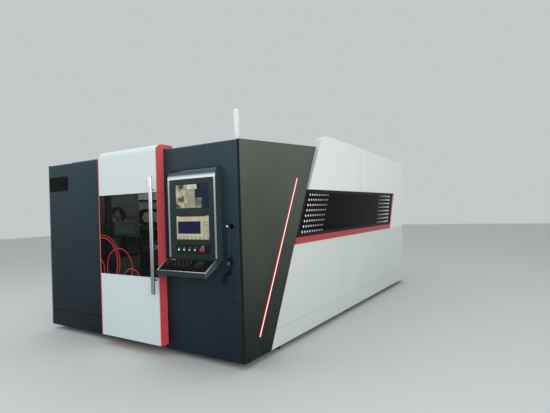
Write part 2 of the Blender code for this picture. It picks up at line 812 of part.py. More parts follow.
def lower_panels():
    outline = [
        at(slant_depth(0) + SIDE_SEAM, 0),
        at(BODY_LENGTH, 0),
        at(BODY_LENGTH, LOWER_PANEL_HEIGHT),
        at(slant_depth(LOWER_PANEL_HEIGHT) + SIDE_SEAM, LOWER_PANEL_HEIGHT),
    ]
    for side, sign in SIDES:
        side_prism(f"{side}_lower_panel", sign, outline, SIDE - SHEET, SIDE, WHITE)


def sill_bands():
    foot = LOWER_PANEL_HEIGHT + GAP
    outline = [
        at(slant_depth(foot) + SIDE_SEAM, foot),
        at(window_rear(foot) + BAND_LEG, foot),
        at(window_rear(WINDOW_TOP) + BAND_LEG, WINDOW_TOP - GAP),
        at(window_rear(WINDOW_TOP), WINDOW_TOP - GAP),
        at(window_rear(SILL_TOP), SILL_TOP),
        at(slant_depth(SILL_TOP) + SIDE_SEAM, SILL_TOP),
    ]
    for side, sign in SIDES:
        side_prism(f"{side}_sill_band", sign, outline, SIDE - SHEET, SIDE + BAND_PROUD, RED)


def windows():
    foot = SILL_TOP + GAP
    top = WINDOW_TOP - GAP
    outline = [
        at(slant_depth(foot) + SIDE_SEAM, foot),
        at(window_rear(foot) - SLANT_GAP, foot),
        at(window_rear(top) - SLANT_GAP, top),
        at(slant_depth(top) + SIDE_SEAM, top),
    ]
    outside = SIDE - PANE_SETBACK
    for side, sign in SIDES:
        side_prism(f"{side}_window", sign, outline, outside - PANE_THICKNESS, outside, TINTED)


def upper_panels():
    """The upper panel and rear pillar in one, with an outer face that leans out towards the top."""
    foot = LOWER_PANEL_HEIGHT + GAP
    outline = [
        at(slant_depth(WINDOW_TOP) + SIDE_SEAM, WINDOW_TOP),
        at(window_rear(WINDOW_TOP) + BAND_LEG + SLANT_GAP, WINDOW_TOP),
        at(window_rear(foot) + BAND_LEG + SLANT_GAP, foot),
        at(BODY_LENGTH, foot),
        at(BODY_LENGTH, REAR_TOP_HEIGHT),
        at(PEAK_DEPTH, PEAK_HEIGHT),
        at(CORNER_DEPTH, CORNER_HEIGHT),
    ]
    for side, sign in SIDES:
        panel = side_prism(f"{side}_upper_panel", sign, outline, SIDE - SHEET, SIDE, WHITE)
        for vertex in panel.data.vertices:
            if sign * vertex.co.x > 0:
                height = panel.location.z + vertex.co.z - BASE - foot
                vertex.co.x += sign * (PANEL_PROUD + PANEL_LEAN * height)


SLOT_HEADROOM = 0.16


def rear_wall():
    top = WEDGE_TOP_HEIGHT - ROOF_SHEET - GAP
    outline = mirrored([(INNER, BASE), (INNER, BASE + top)])
    slot_half = TROUGH_HALF + PALLET_SIDE_GAP
    slot_low = LEDGE_TOP - LEDGE_THICKNESS
    slot_high = SLAT_TOP + SLOT_HEADROOM
    slot = mirrored([(slot_half, slot_low), (slot_half, slot_high)])
    prism("rear_wall", "XZ", outline, REAR - SHEET, REAR, WHITE, [slot])


def main_roof():
    """A flat roof between the side panels, which stand above it."""
    front = FRONT + WEDGE_TOP_DEPTH + GAP
    top = BASE + WEDGE_TOP_HEIGHT
    block("main_roof", (-INNER, front, top - ROOF_SHEET), (INNER, REAR, top), WHITE)


LIGHT_FOOT = 0.206
LIGHT_TOP = 1.913
LIGHT_FOOT_INSET = 0.3225
LIGHT_TOP_INSET = 0.3094
LIGHT_WIDTH = 0.026
LIGHT_PROUD = 0.006


def light_bar():
    low = Vector(at(slant_depth(LIGHT_FOOT) - LIGHT_FOOT_INSET, LIGHT_FOOT))
    high = Vector(at(slant_depth(LIGHT_TOP) - LIGHT_TOP_INSET, LIGHT_TOP))
    along = (high - low).normalized()
    across = Vector((along.y, -along.x)) * (LIGHT_WIDTH / 2)
    outline = [tuple(p) for p in (low + across, high + across, high - across, low - across)]
    prism("light_bar", "YZ", outline, SIDE + GAP, SIDE + GAP + LIGHT_PROUD, LIGHT_PINK)


# Sliding front door

DOOR_OVERLAP = 0.05
DOOR_PROUD = 0.115
DOOR_FOOT = 0.055
DOOR_RISE = 0.045
DOOR_ROLL = 0.08
DOOR_FLANGE = 0.134
FLANGE_ROUND = 0.03
DOOR_SKIN = 0.004
DOOR_CLEARANCE = 0.012
DOOR_TRAVEL = 0.85
CHEEK = 0.014
ROOF_CLEARANCE = 0.004
CROSSBAR = 0.06
PANE_FOOT = 0.814
PANE_TOP = 1.769
PANE_DOOR_THICKNESS = 0.006
RAIL_BAR_DEPTH = 0.07
RAIL_BAR_WIDTH = 0.03
RAIL_BAR_HEIGHT = 0.012
RAIL_CLEARANCE = 0.004
DOOR_LEFT = LEFT_CABINET_WIDTH - SIDE - DOOR_OVERLAP
DOOR_RIGHT = SIDE - CONSOLE_CABINET_WIDTH + DOOR_OVERLAP
DOOR_TOP = roof_height(DOOR_FLANGE) + DOOR_RISE
SKIN_LEFT = DOOR_LEFT + CHEEK + GAP
SKIN_RIGHT = DOOR_RIGHT - CHEEK - GAP
RAIL_BAR_TOP = roof_height(RAIL_BAR_DEPTH + RAIL_BAR_WIDTH) + GAP + RAIL_BAR_HEIGHT
CROSSBAR_SETBACK = PANE_DOOR_THICKNESS + GAP


def door_roll(inset):
    """The door's rolled top in side view, set in from the outer face."""
    centre = at(DOOR_ROLL - DOOR_PROUD, DOOR_TOP - DOOR_ROLL)
    return arc(centre, DOOR_ROLL - inset, 180, 90, BEND_STEPS)


def cheek_outline():
    """A cheek in side view: it reaches over the roof and rides on the rail in a notch."""
    back = -DOOR_CLEARANCE
    near = RAIL_BAR_DEPTH - RAIL_CLEARANCE
    far = RAIL_BAR_DEPTH + RAIL_BAR_WIDTH + RAIL_CLEARANCE
    outline = [at(-DOOR_PROUD, DOOR_FOOT)] + door_roll(0)
    outline += arc(at(DOOR_FLANGE - FLANGE_ROUND, DOOR_TOP - FLANGE_ROUND), FLANGE_ROUND, 90, 0, CORNER_STEPS)
    outline += [
        at(DOOR_FLANGE, roof_height(DOOR_FLANGE) + ROOF_CLEARANCE),
        at(far, roof_height(far) + ROOF_CLEARANCE),
        at(far, RAIL_BAR_TOP + GAP),
        at(near, RAIL_BAR_TOP + GAP),
        at(near, roof_height(near) + ROOF_CLEARANCE),
        at(back, roof_height(0) + ROOF_CLEARANCE),
        at(back, DOOR_FOOT),
    ]
    return outline


def door_frame():
    outline = cheek_outline()
    frame = prism("door_frame", "YZ", outline, DOOR_LEFT, DOOR_LEFT + CHEEK, RED)
    pieces = [prism("cheek_helper", "YZ", outline, DOOR_RIGHT - CHEEK, DOOR_RIGHT, RED)]
    bars = (DOOR_FOOT, PANE_FOOT - CROSSBAR, PANE_TOP, DOOR_TOP - DOOR_ROLL - CROSSBAR)
    for index, height in enumerate(bars):
        low = (DOOR_LEFT + CHEEK / 2, FRONT - DOOR_PROUD + CROSSBAR_SETBACK, BASE + height)
        high = (DOOR_RIGHT - CHEEK / 2, FRONT - DOOR_CLEARANCE - CHEEK, BASE + height + CROSSBAR)
        pieces.append(block(f"crossbar_{index}_helper", low, high, RED))
    weld_on(frame, *pieces)


def door_skins():
    end = DOOR_FLANGE - FLANGE_ROUND
    outline = [at(-DOOR_PROUD, PANE_TOP + SEAM / 2)] + door_roll(0)
    outline += [at(end, DOOR_TOP), at(end, DOOR_TOP - DOOR_SKIN)]
    outline += list(reversed(door_roll(DOOR_SKIN)))
    outline.append(at(DOOR_SKIN - DOOR_PROUD, PANE_TOP + SEAM / 2))
    prism("door_upper_skin", "YZ", outline, SKIN_LEFT, SKIN_RIGHT, WHITE)
    block(
        "door_lower_skin",
        (SKIN_LEFT, FRONT - DOOR_PROUD, BASE + DOOR_FOOT),
        (SKIN_RIGHT, FRONT - DOOR_PROUD + PANE_DOOR_THICKNESS, BASE + PANE_FOOT - SEAM / 2),
        WHITE,
    )


def door_window():
    block(
        "door_window",
        (SKIN_LEFT, FRONT - DOOR_PROUD, BASE + PANE_FOOT),
        (SKIN_RIGHT, FRONT - DOOR_PROUD + PANE_DOOR_THICKNESS, BASE + PANE_TOP),
        TINTED,
    )


HANDLE_INSET = 0.045
HANDLE_WIDTH = 0.05
HANDLE_DEPTH = 0.028
HANDLE_STAND = 0.045
HANDLE_FOOT = 0.64
HANDLE_TOP = 1.94
POST_RADIUS = 0.011
POST_HEIGHTS = (0.79, 1.80)
HANDLE_ROUND_SHARE = 0.45
HANDLE_X = DOOR_RIGHT - HANDLE_INSET


def door_handle():
    face = FRONT - DOOR_PROUD - GAP
    far = face - HANDLE_STAND
    low = (HANDLE_X - HANDLE_WIDTH / 2, far - HANDLE_DEPTH)
    high = (HANDLE_X + HANDLE_WIDTH / 2, far)
    outline = rounded(low, high, HANDLE_DEPTH * HANDLE_ROUND_SHARE)
    bar = prism("door_handle", "XY", outline, BASE + HANDLE_FOOT, BASE + HANDLE_TOP, BRUSHED)
    reach = HANDLE_STAND + HANDLE_DEPTH / 2
    posts = []
    for index, height in enumerate(POST_HEIGHTS):
        profile = [(0, 0), (POST_RADIUS, 0), (POST_RADIUS, reach), (0, reach)]
        foot = (HANDLE_X, face, BASE + height)
        posts.append(turned(f"post_{index}_helper", profile, foot, "-Y", FINE_STEPS, BRUSHED))
    weld_on(bar, *posts)


def door_rail():
    near = RAIL_BAR_DEPTH
    far = RAIL_BAR_DEPTH + RAIL_BAR_WIDTH
    outline = [
        at(near, roof_height(near) + GAP),
        at(far, roof_height(far) + GAP),
        at(far, RAIL_BAR_TOP),
        at(near, RAIL_BAR_TOP),
    ]
    prism("door_rail", "YZ", outline, DOOR_LEFT - DOOR_TRAVEL, DOOR_RIGHT, STEEL)


# Operator console

CONSOLE_WIDTH = 0.681
CONSOLE_LEFT = SIDE - 0.925
CONSOLE_DEPTH = 0.095
CONSOLE_TOP = 2.0
CONSOLE_BEND = 1.889
CONSOLE_REAR_FOOT = 1.032
CONSOLE_NOSE_FOOT = 0.958
CONSOLE_NOSE_DEPTH = 0.121
TRIM_THICKNESS = 0.005
TRIM_WIDTH = 0.024
TRIM_SETBACK = 0.02
TRAY_SLOPE = TRAY_DROP / (TRAY_REACH - CONSOLE_DEPTH)
TRAY_CREST = 1.054


def tray_height(depth):
    """The tray's upper face at a distance in front of the cabinet."""
    return TRAY_CREST - TRAY_SLOPE * (depth - CONSOLE_DEPTH)


def console_front(inset):
    """The console's front and curved top in side view, from the tray up and back to the cabinet."""
    depth = CONSOLE_DEPTH - inset
    height = CONSOLE_TOP - CONSOLE_BEND - inset
    points = [at(-depth, tray_height(CONSOLE_DEPTH))]
    for step in range(BEND_STEPS + 1):
        angle = math.radians(90 * step / BEND_STEPS)
        reach = TRIM_SETBACK + (depth - TRIM_SETBACK) * math.cos(angle)
        points.append(at(-reach, CONSOLE_BEND + height * math.sin(angle)))
    return points


MONITOR_LEFT = SIDE - 0.817
MONITOR_WIDTH = 0.473
MONITOR_THICKNESS = 0.02
MONITOR_RECESS = 0.002
MONITOR_GAP = 0.001
UPPER_MONITOR = (1.573, 1.833)
LOWER_MONITOR = (1.24, 1.50)
BUTTON_PLATE_LEFT = SIDE - 0.816
BUTTON_PLATE_WIDTH = 0.478
BUTTON_PLATE_FOOT = 1.096
BUTTON_PLATE_HEIGHT = 0.094
BUTTON_PLATE_THICKNESS = 0.004
BUTTON_FIRST = SIDE - 0.775
BUTTON_PITCH = 0.077
BUTTON_COUNT = 4
BUTTON_HEIGHT = 1.136
BUTTON_CAP = 0.02
BUTTON_CAP_THICKNESS = 0.005
BUTTON_CAP_GAP = 0.001
BUTTON_TRAVEL = 0.003
BUTTON_SHAFT_RADIUS = 0.006
BUTTON_SHAFT_LENGTH = 0.018
STOP_X = SIDE - 0.44
STOP_HEIGHT = 1.14
STOP_RADIUS = 0.0225
STOP_CAP = 0.014
STOP_TRAVEL = 0.005
STOP_SHAFT_RADIUS = 0.011
STOP_SHAFT_LENGTH = 0.03
COLLAR_RADIUS = 0.027
COLLAR_HEIGHT = 0.01
SHAFT_CLEARANCE = 0.0006
CAP_ROUND = 0.0025
COLLAR_SHOULDER_SHARE = 0.6
COLLAR_TOP_SHARE = 0.8
STOP_EDGE_SHARE = 0.5
STOP_DOME_SHARE = 0.85
STOP_CROWN_SHARE = 0.5
PANEL_FACE = FRONT - CONSOLE_DEPTH + TRIM_THICKNESS + GAP
PLATE_FACE = PANEL_FACE - GAP - BUTTON_PLATE_THICKNESS


def bore(name, x, height, radius, deep):
    """A round cutter into the panel, from in front of the button plate."""
    start = PLATE_FACE - OVERRUN
    length = deep - start
    profile = [(0, 0), (radius, 0), (radius, length), (0, length)]
    return turned(name, profile, (x, deep, BASE + height), "-Y", FINE_STEPS, BLACK)


def button_x(index):
    return BUTTON_FIRST + index * BUTTON_PITCH


def console_housing():
    right = CONSOLE_LEFT + CONSOLE_WIDTH
    back = FRONT - GAP
    nose = -CONSOLE_NOSE_DEPTH
    outline = console_front(TRIM_THICKNESS + GAP)
    outline += [
        (back, BASE + CONSOLE_TOP - TRIM_THICKNESS),
        (back, BASE + CONSOLE_REAR_FOOT),
        at(nose, CONSOLE_NOSE_FOOT),
        at(nose, tray_height(CONSOLE_NOSE_DEPTH)),
    ]
    housing = prism("console_housing", "YZ", outline, CONSOLE_LEFT, right, CONSOLE)
    cutters = []
    for name, (low, high) in (("upper", UPPER_MONITOR), ("lower", LOWER_MONITOR)):
        cutters.append(
            block(
                f"{name}_recess_helper",
                (MONITOR_LEFT - MONITOR_GAP, PANEL_FACE - OVERRUN, BASE + low - MONITOR_GAP),
                (
                    MONITOR_LEFT + MONITOR_WIDTH + MONITOR_GAP,
                    PANEL_FACE + MONITOR_RECESS + MONITOR_THICKNESS + GAP,
                    BASE + high + MONITOR_GAP,
                ),
                CONSOLE,
            )
        )
    deep = PANEL_FACE + BUTTON_SHAFT_LENGTH + BUTTON_TRAVEL
    for index in range(BUTTON_COUNT):
        radius = BUTTON_SHAFT_RADIUS + SHAFT_CLEARANCE
        cutters.append(bore(f"shaft_{index}_helper", button_x(index), BUTTON_HEIGHT, radius, deep))
    radius = STOP_SHAFT_RADIUS + SHAFT_CLEARANCE
    deep = PANEL_FACE + STOP_SHAFT_LENGTH + STOP_TRAVEL
    cutters.append(bore("stop_shaft_helper", STOP_X, STOP_HEIGHT, radius, deep))
    cut(housing, *cutters)


def console_trim():
    right = CONSOLE_LEFT + CONSOLE_WIDTH
    outline = console_front(0) + [at(-TRIM_SETBACK, CONSOLE_TOP - TRIM_THICKNESS)]
    outline += list(reversed(console_front(TRIM_THICKNESS)))[1:]
    trim = prism("console_trim", "YZ", outline, CONSOLE_LEFT, right, BRUSHED)
    opening = block(
        "trim_opening_helper",
        (CONSOLE_LEFT + TRIM_WIDTH, FRONT - CONSOLE_DEPTH - OVERRUN, BASE),
        (right - TRIM_WIDTH, FRONT - TRIM_SETBACK, BASE + CONSOLE_BEND),
        BRUSHED,
    )
    cut(trim, opening)


def monitors():
    for name, (low, high) in (("upper_monitor", UPPER_MONITOR), ("lower_monitor", LOWER_MONITOR)):
        face = PANEL_FACE + MONITOR_RECESS
        block(
            name,
            (MONITOR_LEFT, face, BASE + low),
            (MONITOR_LEFT + MONITOR_WIDTH, face + MONITOR_THICKNESS, BASE + high),
            SCREEN,
        )


def button_plate():
    low = (BUTTON_PLATE_LEFT, BASE + BUTTON_PLATE_FOOT)
    high = (BUTTON_PLATE_LEFT + BUTTON_PLATE_WIDTH, low[1] + BUTTON_PLATE_HEIGHT)
    outline = [low, (high[0], low[1]), high, (low[0], high[1])]
    holes = []
    places = [(button_x(index), BUTTON_HEIGHT, BUTTON_SHAFT_RADIUS) for index in range(BUTTON_COUNT)]
    places.append((STOP_X, STOP_HEIGHT, STOP_SHAFT_RADIUS))
    for x, height, radius in places:
        circle = arc((x, BASE + height), radius + SHAFT_CLEARANCE, 0, 360, FINE_STEPS)
        holes.append(circle[:-1])
    far = PLATE_FACE + BUTTON_PLATE_THICKNESS
    prism("button_plate", "XZ", outline, PLATE_FACE, far, BLACK, holes)


def push_buttons():
    caps = (LAMP_GREEN, LAMP_GREEN, LAMP_PALE, LAMP_PALE)
    under = PLATE_FACE - BUTTON_TRAVEL - BUTTON_CAP_GAP
    for index, material in enumerate(caps):
        x = button_x(index)
        z = BASE + BUTTON_HEIGHT
        half = BUTTON_CAP / 2
        outline = rounded((x - half, z - half), (x + half, z + half), CAP_ROUND)
        button = prism(
            f"push_button_{index + 1}", "XZ", outline, under - BUTTON_CAP_THICKNESS, under, material
        )
        foot = (x, PANEL_FACE + BUTTON_SHAFT_LENGTH - GAP, z)
        length = foot[1] - under + BUTTON_CAP_THICKNESS / 2
        profile = [
            (0, 0),
            (BUTTON_SHAFT_RADIUS, 0),
            (BUTTON_SHAFT_RADIUS, length),
            (0, length),
        ]
        weld_on(button, turned(f"shaft_{index}_post_helper", profile, foot, "-Y", FINE_STEPS, material))


def emergency_stop():
    z = BASE + STOP_HEIGHT
    inner = STOP_SHAFT_RADIUS + SHAFT_CLEARANCE
    collar = [
        (inner, 0),
        (COLLAR_RADIUS, 0),
        (COLLAR_RADIUS, COLLAR_HEIGHT * COLLAR_SHOULDER_SHARE),
        (COLLAR_RADIUS * COLLAR_TOP_SHARE, COLLAR_HEIGHT),
        (inner, COLLAR_HEIGHT),
        (inner, 0),
    ]
    turned("stop_collar", collar, (STOP_X, PLATE_FACE - GAP, z), "-Y", ROUND_STEPS, COLLAR_GREY)
    foot = PANEL_FACE + STOP_SHAFT_LENGTH - GAP
    under = foot - PLATE_FACE + GAP + COLLAR_HEIGHT + STOP_TRAVEL + BUTTON_CAP_GAP
    stop = [
        (0, 0),
        (STOP_SHAFT_RADIUS, 0),
        (STOP_SHAFT_RADIUS, under),
        (STOP_RADIUS, under),
        (STOP_RADIUS, under + STOP_CAP * STOP_EDGE_SHARE),
        (STOP_RADIUS * STOP_DOME_SHARE, under + STOP_CAP * STOP_DOME_SHARE),
        (STOP_RADIUS * STOP_CROWN_SHARE, under + STOP_CAP),
        (0, under + STOP_CAP),
    ]
    turned("stop_button", stop, (STOP_X, foot, z), "-Y", ROUND_STEPS, STOP_RED)


KEYBOARD_WIDTH = 0.60
KEYBOARD_INSET = 0.035
KEYBOARD_RISE = 0.006
TRAY_SIDE_WALL = 0.012


def keyboard_tray():
    near = CONSOLE_NOSE_DEPTH + GAP
    left = CONSOLE_LEFT - (TRAY_WIDTH - CONSOLE_WIDTH) / 2
    foot = tray_height(TRAY_REACH) - TRAY_THICKNESS
    outline = [
        at(-near, tray_height(near)),
        at(-near, CONSOLE_NOSE_FOOT),
        at(TRAY_LIP - TRAY_REACH, foot),
        at(-TRAY_REACH, foot + TRAY_LIP),
        at(-TRAY_REACH, tray_height(TRAY_REACH) - TRAY_LIP),
        at(TRAY_LIP - TRAY_REACH, tray_height(TRAY_REACH - TRAY_LIP)),
    ]
    prism("keyboard_tray", "YZ", outline, left, left + TRAY_WIDTH, CONSOLE)


def keyboard():
    near = CONSOLE_NOSE_DEPTH + TRAY_SIDE_WALL
    far = TRAY_REACH - TRAY_SIDE_WALL - TRAY_LIP
    outline = [
        at(-near, tray_height(near) + SLANT_GAP),
        at(-far, tray_height(far) + SLANT_GAP),
        at(-far, tray_height(far) + KEYBOARD_RISE),
        at(-near, tray_height(near) + KEYBOARD_RISE),
    ]
    left = CONSOLE_LEFT + KEYBOARD_INSET
    prism("keyboard", "YZ", outline, left, left + KEYBOARD_WIDTH, BLACK)


# Hook, lanyard, handset and cords

HOOK_X = SIDE - 0.125
HOOK_HEIGHT = 1.38
HOOK_BASE_RADIUS = 0.024
HOOK_BASE = 0.02
HOOK_NECK_RADIUS = 0.007
HOOK_NECK = 0.034
BALL_RADIUS = 0.016


def pendant_hook():
    ball = HOOK_BASE + HOOK_NECK + BALL_RADIUS
    profile = [
        (0, 0),
        (HOOK_BASE_RADIUS, 0),
        (HOOK_BASE_RADIUS, HOOK_BASE - HOOK_NECK_RADIUS),
        (HOOK_NECK_RADIUS, HOOK_BASE),
        (HOOK_NECK_RADIUS, HOOK_BASE + HOOK_NECK),
    ]
    for step in range(1, BEND_STEPS):
        angle = math.pi * step / BEND_STEPS
        profile.append((BALL_RADIUS * math.sin(angle), ball - BALL_RADIUS * math.cos(angle)))
    profile.append((0, ball + BALL_RADIUS))
    foot = (HOOK_X, FRONT - GAP, BASE + HOOK_HEIGHT)
    turned("pendant_hook", profile, foot, "-Y", FINE_STEPS, CHROME)


CORD_Y = FRONT - HOOK_BASE - HOOK_NECK / 2
LANYARD_RADIUS = 0.0015
HANDSET_WIDTH = 0.055
HANDSET_HEIGHT = 0.09
HANDSET_DEPTH = 0.028
HANDSET_ROUND = 0.014
HANDSET_EDGE = 0.0045
HANDSET_TOP = 1.063
HANDSET_X = SIDE - 0.156
HANDSET_Y = FRONT - GAP - HANDSET_DEPTH / 2
CURLY_RADIUS = 0.014
PLUG_RADIUS = 0.018
PLUG_LENGTH = 0.045
PLUG_NOSE_SHARE = 0.6
PLUG_SHOULDER_SHARE = 0.3
PLUG_TOP = 0.833
PLUG_X = SIDE - 0.232
PLUG_Y = FRONT - GAP - PLUG_RADIUS
THIN_RADIUS = 0.0015
THIN_STAND = 0.005
LANYARD_POINTS = 30
THIN_POINTS = 90
CURLY_POINTS = 16
ROUTE_STEPS = 20


def smooth_route(route, count):
    """Points at even steps along a smooth curve through a route's own points."""
    ends = [2 * route[0] - route[1]] + route + [2 * route[-1] - route[-2]]
    fine = []
    for before, start, end, after in zip(ends, ends[1:], ends[2:], ends[3:]):
        for step in range(ROUTE_STEPS):
            t = step / ROUTE_STEPS
            bend = 2 * start + (end - before) * t
            bend += (2 * before - 5 * start + 4 * end - after) * t**2
            bend += (3 * start - before - 3 * end + after) * t**3
            fine.append(bend / 2)
    fine.append(route[-1])
    lengths = [0]
    for start, end in zip(fine, fine[1:]):
        lengths.append(lengths[-1] + (end - start).length)
    points = []
    index = 0
    for step in range(count + 1):
        target = lengths[-1] * step / count
        while index < len(fine) - 2 and lengths[index + 1] < target:
            index += 1
        share = (target - lengths[index]) / (lengths[index + 1] - lengths[index])
        points.append(fine[index].lerp(fine[index + 1], share))
    return points


def tube(name, route, count, radius, resolution, material):
    curve = bpy.data.curves.new(name, "CURVE")
    curve.dimensions = "3D"
    curve.bevel_depth = radius
    curve.bevel_resolution = resolution
    curve.use_fill_caps = True
    points = smooth_route([Vector(p) for p in route], count)
    spline = curve.splines.new("POLY")
    spline.points.add(len(points) - 1)
    for point, place in zip(spline.points, points):
        point.co = (*place, 1)
    curve.materials.append(material)
    obj = bpy.data.objects.new(name, curve)
    bpy.context.scene.collection.objects.link(obj)
    return obj


def handset():
    low = (HANDSET_X - HANDSET_WIDTH / 2, BASE + HANDSET_TOP - HANDSET_HEIGHT)
    high = (HANDSET_X + HANDSET_WIDTH / 2, BASE + HANDSET_TOP)
    outline = rounded(low, high, HANDSET_ROUND)
    back = FRONT - GAP
    body = prism("handset", "XZ", outline, back - HANDSET_DEPTH, back, BLACK)
    soften(body, HANDSET_EDGE)


# Beacon

BEACON_X = SIDE - 0.1135
BEACON_DEPTH = 0.12
BEACON_RADIUS = 0.033
BEACON_BASE_RADIUS = 0.035
BEACON_BASE_HEIGHT = 0.07
BEACON_HEIGHT = 0.255
BEACON_DOME = 0.032
BEACON_EDGE_SHARE = 0.94
BEACON_DOME_STEPS = 5


def beacon():
    ground = BASE + roof_height(BEACON_DEPTH + BEACON_BASE_RADIUS) + GAP
    place = (BEACON_X, FRONT + BEACON_DEPTH)
    drop = ROOF_RISE * 2 * BEACON_BASE_RADIUS
    base = [
        (0, -drop),
        (BEACON_BASE_RADIUS, -drop),
        (BEACON_BASE_RADIUS, BEACON_BASE_HEIGHT * BEACON_EDGE_SHARE),
        (BEACON_RADIUS, BEACON_BASE_HEIGHT),
        (0, BEACON_BASE_HEIGHT),
    ]
    body = turned("beacon_base", base, (*place, ground), "+Z", ROUND_STEPS, FROSTED)
    reach = 2 * BEACON_BASE_RADIUS
    near = BEACON_DEPTH - reach
    far = BEACON_DEPTH + reach
    slope = [
        at(near, roof_height(near) + GAP),
        at(far, roof_height(far) + GAP),
        at(far, ROOF_FRONT_HEIGHT - OVERRUN),
        at(near, ROOF_FRONT_HEIGHT - OVERRUN),
    ]
    cut(body, prism("roof_slope_helper", "YZ", slope, BEACON_X - reach, BEACON_X + reach, FROSTED))
    foot = ground + BEACON_BASE_HEIGHT + GAP
    rise = BEACON_HEIGHT - BEACON_DOME
    lens = [(0, 0), (BEACON_RADIUS, 0)]
    for step in range(BEACON_DOME_STEPS):
        angle = math.radians(90 * step / BEACON_DOME_STEPS)
        lens.append((BEACON_RADIUS * math.cos(angle), rise + BEACON_DOME * math.sin(angle)))
    lens.append((0, BEACON_HEIGHT))
    turned("beacon_lens", lens, (*place, foot), "+Z", ROUND_STEPS, FROSTED)


# The cords' routes: heights are over the panels' lower edge

LANYARD_ROUTE = (
    (HOOK_X, CORD_Y, BASE + 1.3714),
    (HOOK_X, CORD_Y, BASE + 1.345),
    (HOOK_X - 0.012, CORD_Y + 0.006, BASE + 1.22),
    (HANDSET_X, HANDSET_Y, BASE + 1.10),
    (HANDSET_X, HANDSET_Y, BASE + HANDSET_TOP + GAP),
)
CURLY_ROUTE = (
    (HANDSET_X, HANDSET_Y, BASE + HANDSET_TOP - HANDSET_HEIGHT - GAP),
    (HANDSET_X, HANDSET_Y, BASE + 0.960),
    (HANDSET_X, HANDSET_Y, BASE + 0.945),
    (HANDSET_X - 0.006, HANDSET_Y, BASE + 0.912),
    (HANDSET_X - 0.024, HANDSET_Y, BASE + 0.888),
    (HANDSET_X - 0.054, HANDSET_Y, BASE + 0.876),
    (PLUG_X, PLUG_Y, BASE + 0.860),
    (PLUG_X, PLUG_Y, BASE + 0.846),
    (PLUG_X, PLUG_Y, BASE + PLUG_TOP + GAP),
)
THIN_ROUTE = (
    (PLUG_X, PLUG_Y, BASE + PLUG_TOP - PLUG_LENGTH - GAP),
    (PLUG_X, PLUG_Y, BASE + 0.781),
    (PLUG_X, PLUG_Y, BASE + 0.775),
    (SIDE - 0.215, FRONT - THIN_STAND, BASE + 0.759),
    (SIDE - 0.155, FRONT - THIN_STAND, BASE + 0.741),
    (SIDE - 0.106, FRONT - THIN_STAND, BASE + 0.705),
    (SIDE - 0.101, FRONT - THIN_STAND, BASE + 0.690),
    (SIDE - 0.117, FRONT - THIN_STAND, BASE + 0.683),
    (SIDE - 0.158, FRONT - THIN_STAND, BASE + 0.683),
    (SIDE - 0.188, FRONT - THIN_STAND, BASE + 0.650),
    (SIDE - 0.165, FRONT - THIN_STAND, BASE + 0.625),
    (SIDE - 0.143, FRONT - THIN_STAND, BASE + 0.605),
    (SIDE - 0.122, FRONT - THIN_STAND, BASE + 0.591),
    (SIDE - 0.078, FRONT - THIN_STAND, BASE + 0.590),
)


def cord_plug():
    profile = [
        (0, 0),
        (PLUG_RADIUS * PLUG_NOSE_SHARE, 0),
        (PLUG_RADIUS, PLUG_LENGTH * PLUG_SHOULDER_SHARE),
        (PLUG_RADIUS, PLUG_LENGTH),
        (0, PLUG_LENGTH),
    ]
    foot = (PLUG_X, PLUG_Y, BASE + PLUG_TOP - PLUG_LENGTH)
    turned("cord_plug", profile, foot, "+Z", FINE_STEPS, BLACK)


base_frame()
feet()
machine_bed()
gantry_rails()
gantry_beam()
carriage()
cutting_head()
cable_chain()
pallet()
cabinets()
front_roof()
name_plate()
wedge_plates()
lower_panels()
sill_bands()
windows()
upper_panels()
rear_wall()
main_roof()
light_bar()
door_frame()
door_skins()
door_window()
door_handle()
door_rail()
console_housing()
console_trim()
monitors()
button_plate()
push_buttons()
emergency_stop()
keyboard_tray()
keyboard()
pendant_hook()
handset()
cord_plug()
tube("lanyard", LANYARD_ROUTE, LANYARD_POINTS, LANYARD_RADIUS, 2, COLLAR_GREY)
tube("curly_cord", CURLY_ROUTE, CURLY_POINTS, CURLY_RADIUS, 3, BLACK)
tube("thin_cord", THIN_ROUTE, THIN_POINTS, THIN_RADIUS, 2, BLACK)
beacon()
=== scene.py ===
# %% [markdown]
# An enclosed fiber laser cutting machine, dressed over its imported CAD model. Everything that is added
# rides on one of the machine's bodies, so it moves as the real piece does.

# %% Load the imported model
import math

import bpy
from mathutils import Matrix, Vector


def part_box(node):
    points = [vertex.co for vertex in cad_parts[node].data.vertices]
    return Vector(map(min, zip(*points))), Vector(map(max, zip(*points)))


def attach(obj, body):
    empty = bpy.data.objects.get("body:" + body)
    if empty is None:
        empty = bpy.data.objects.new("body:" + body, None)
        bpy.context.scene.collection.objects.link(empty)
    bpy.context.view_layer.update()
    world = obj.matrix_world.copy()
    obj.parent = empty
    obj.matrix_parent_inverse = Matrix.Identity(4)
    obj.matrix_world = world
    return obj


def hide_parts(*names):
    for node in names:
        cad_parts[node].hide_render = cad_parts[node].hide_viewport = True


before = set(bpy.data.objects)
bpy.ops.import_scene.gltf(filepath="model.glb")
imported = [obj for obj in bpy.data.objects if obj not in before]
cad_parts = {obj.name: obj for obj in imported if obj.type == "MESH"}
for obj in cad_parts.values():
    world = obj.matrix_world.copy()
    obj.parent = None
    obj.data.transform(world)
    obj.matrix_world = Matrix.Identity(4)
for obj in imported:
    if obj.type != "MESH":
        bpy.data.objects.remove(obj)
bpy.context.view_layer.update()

# %% [markdown]
# The camera comes first. The photograph was taken a little right of the machine's front right corner, at
# eye height, with a wide lens, and it leans by less than two degrees. The lens is written as a focal length
# in pixels of the 550 pixel frame and turned into millimetres.

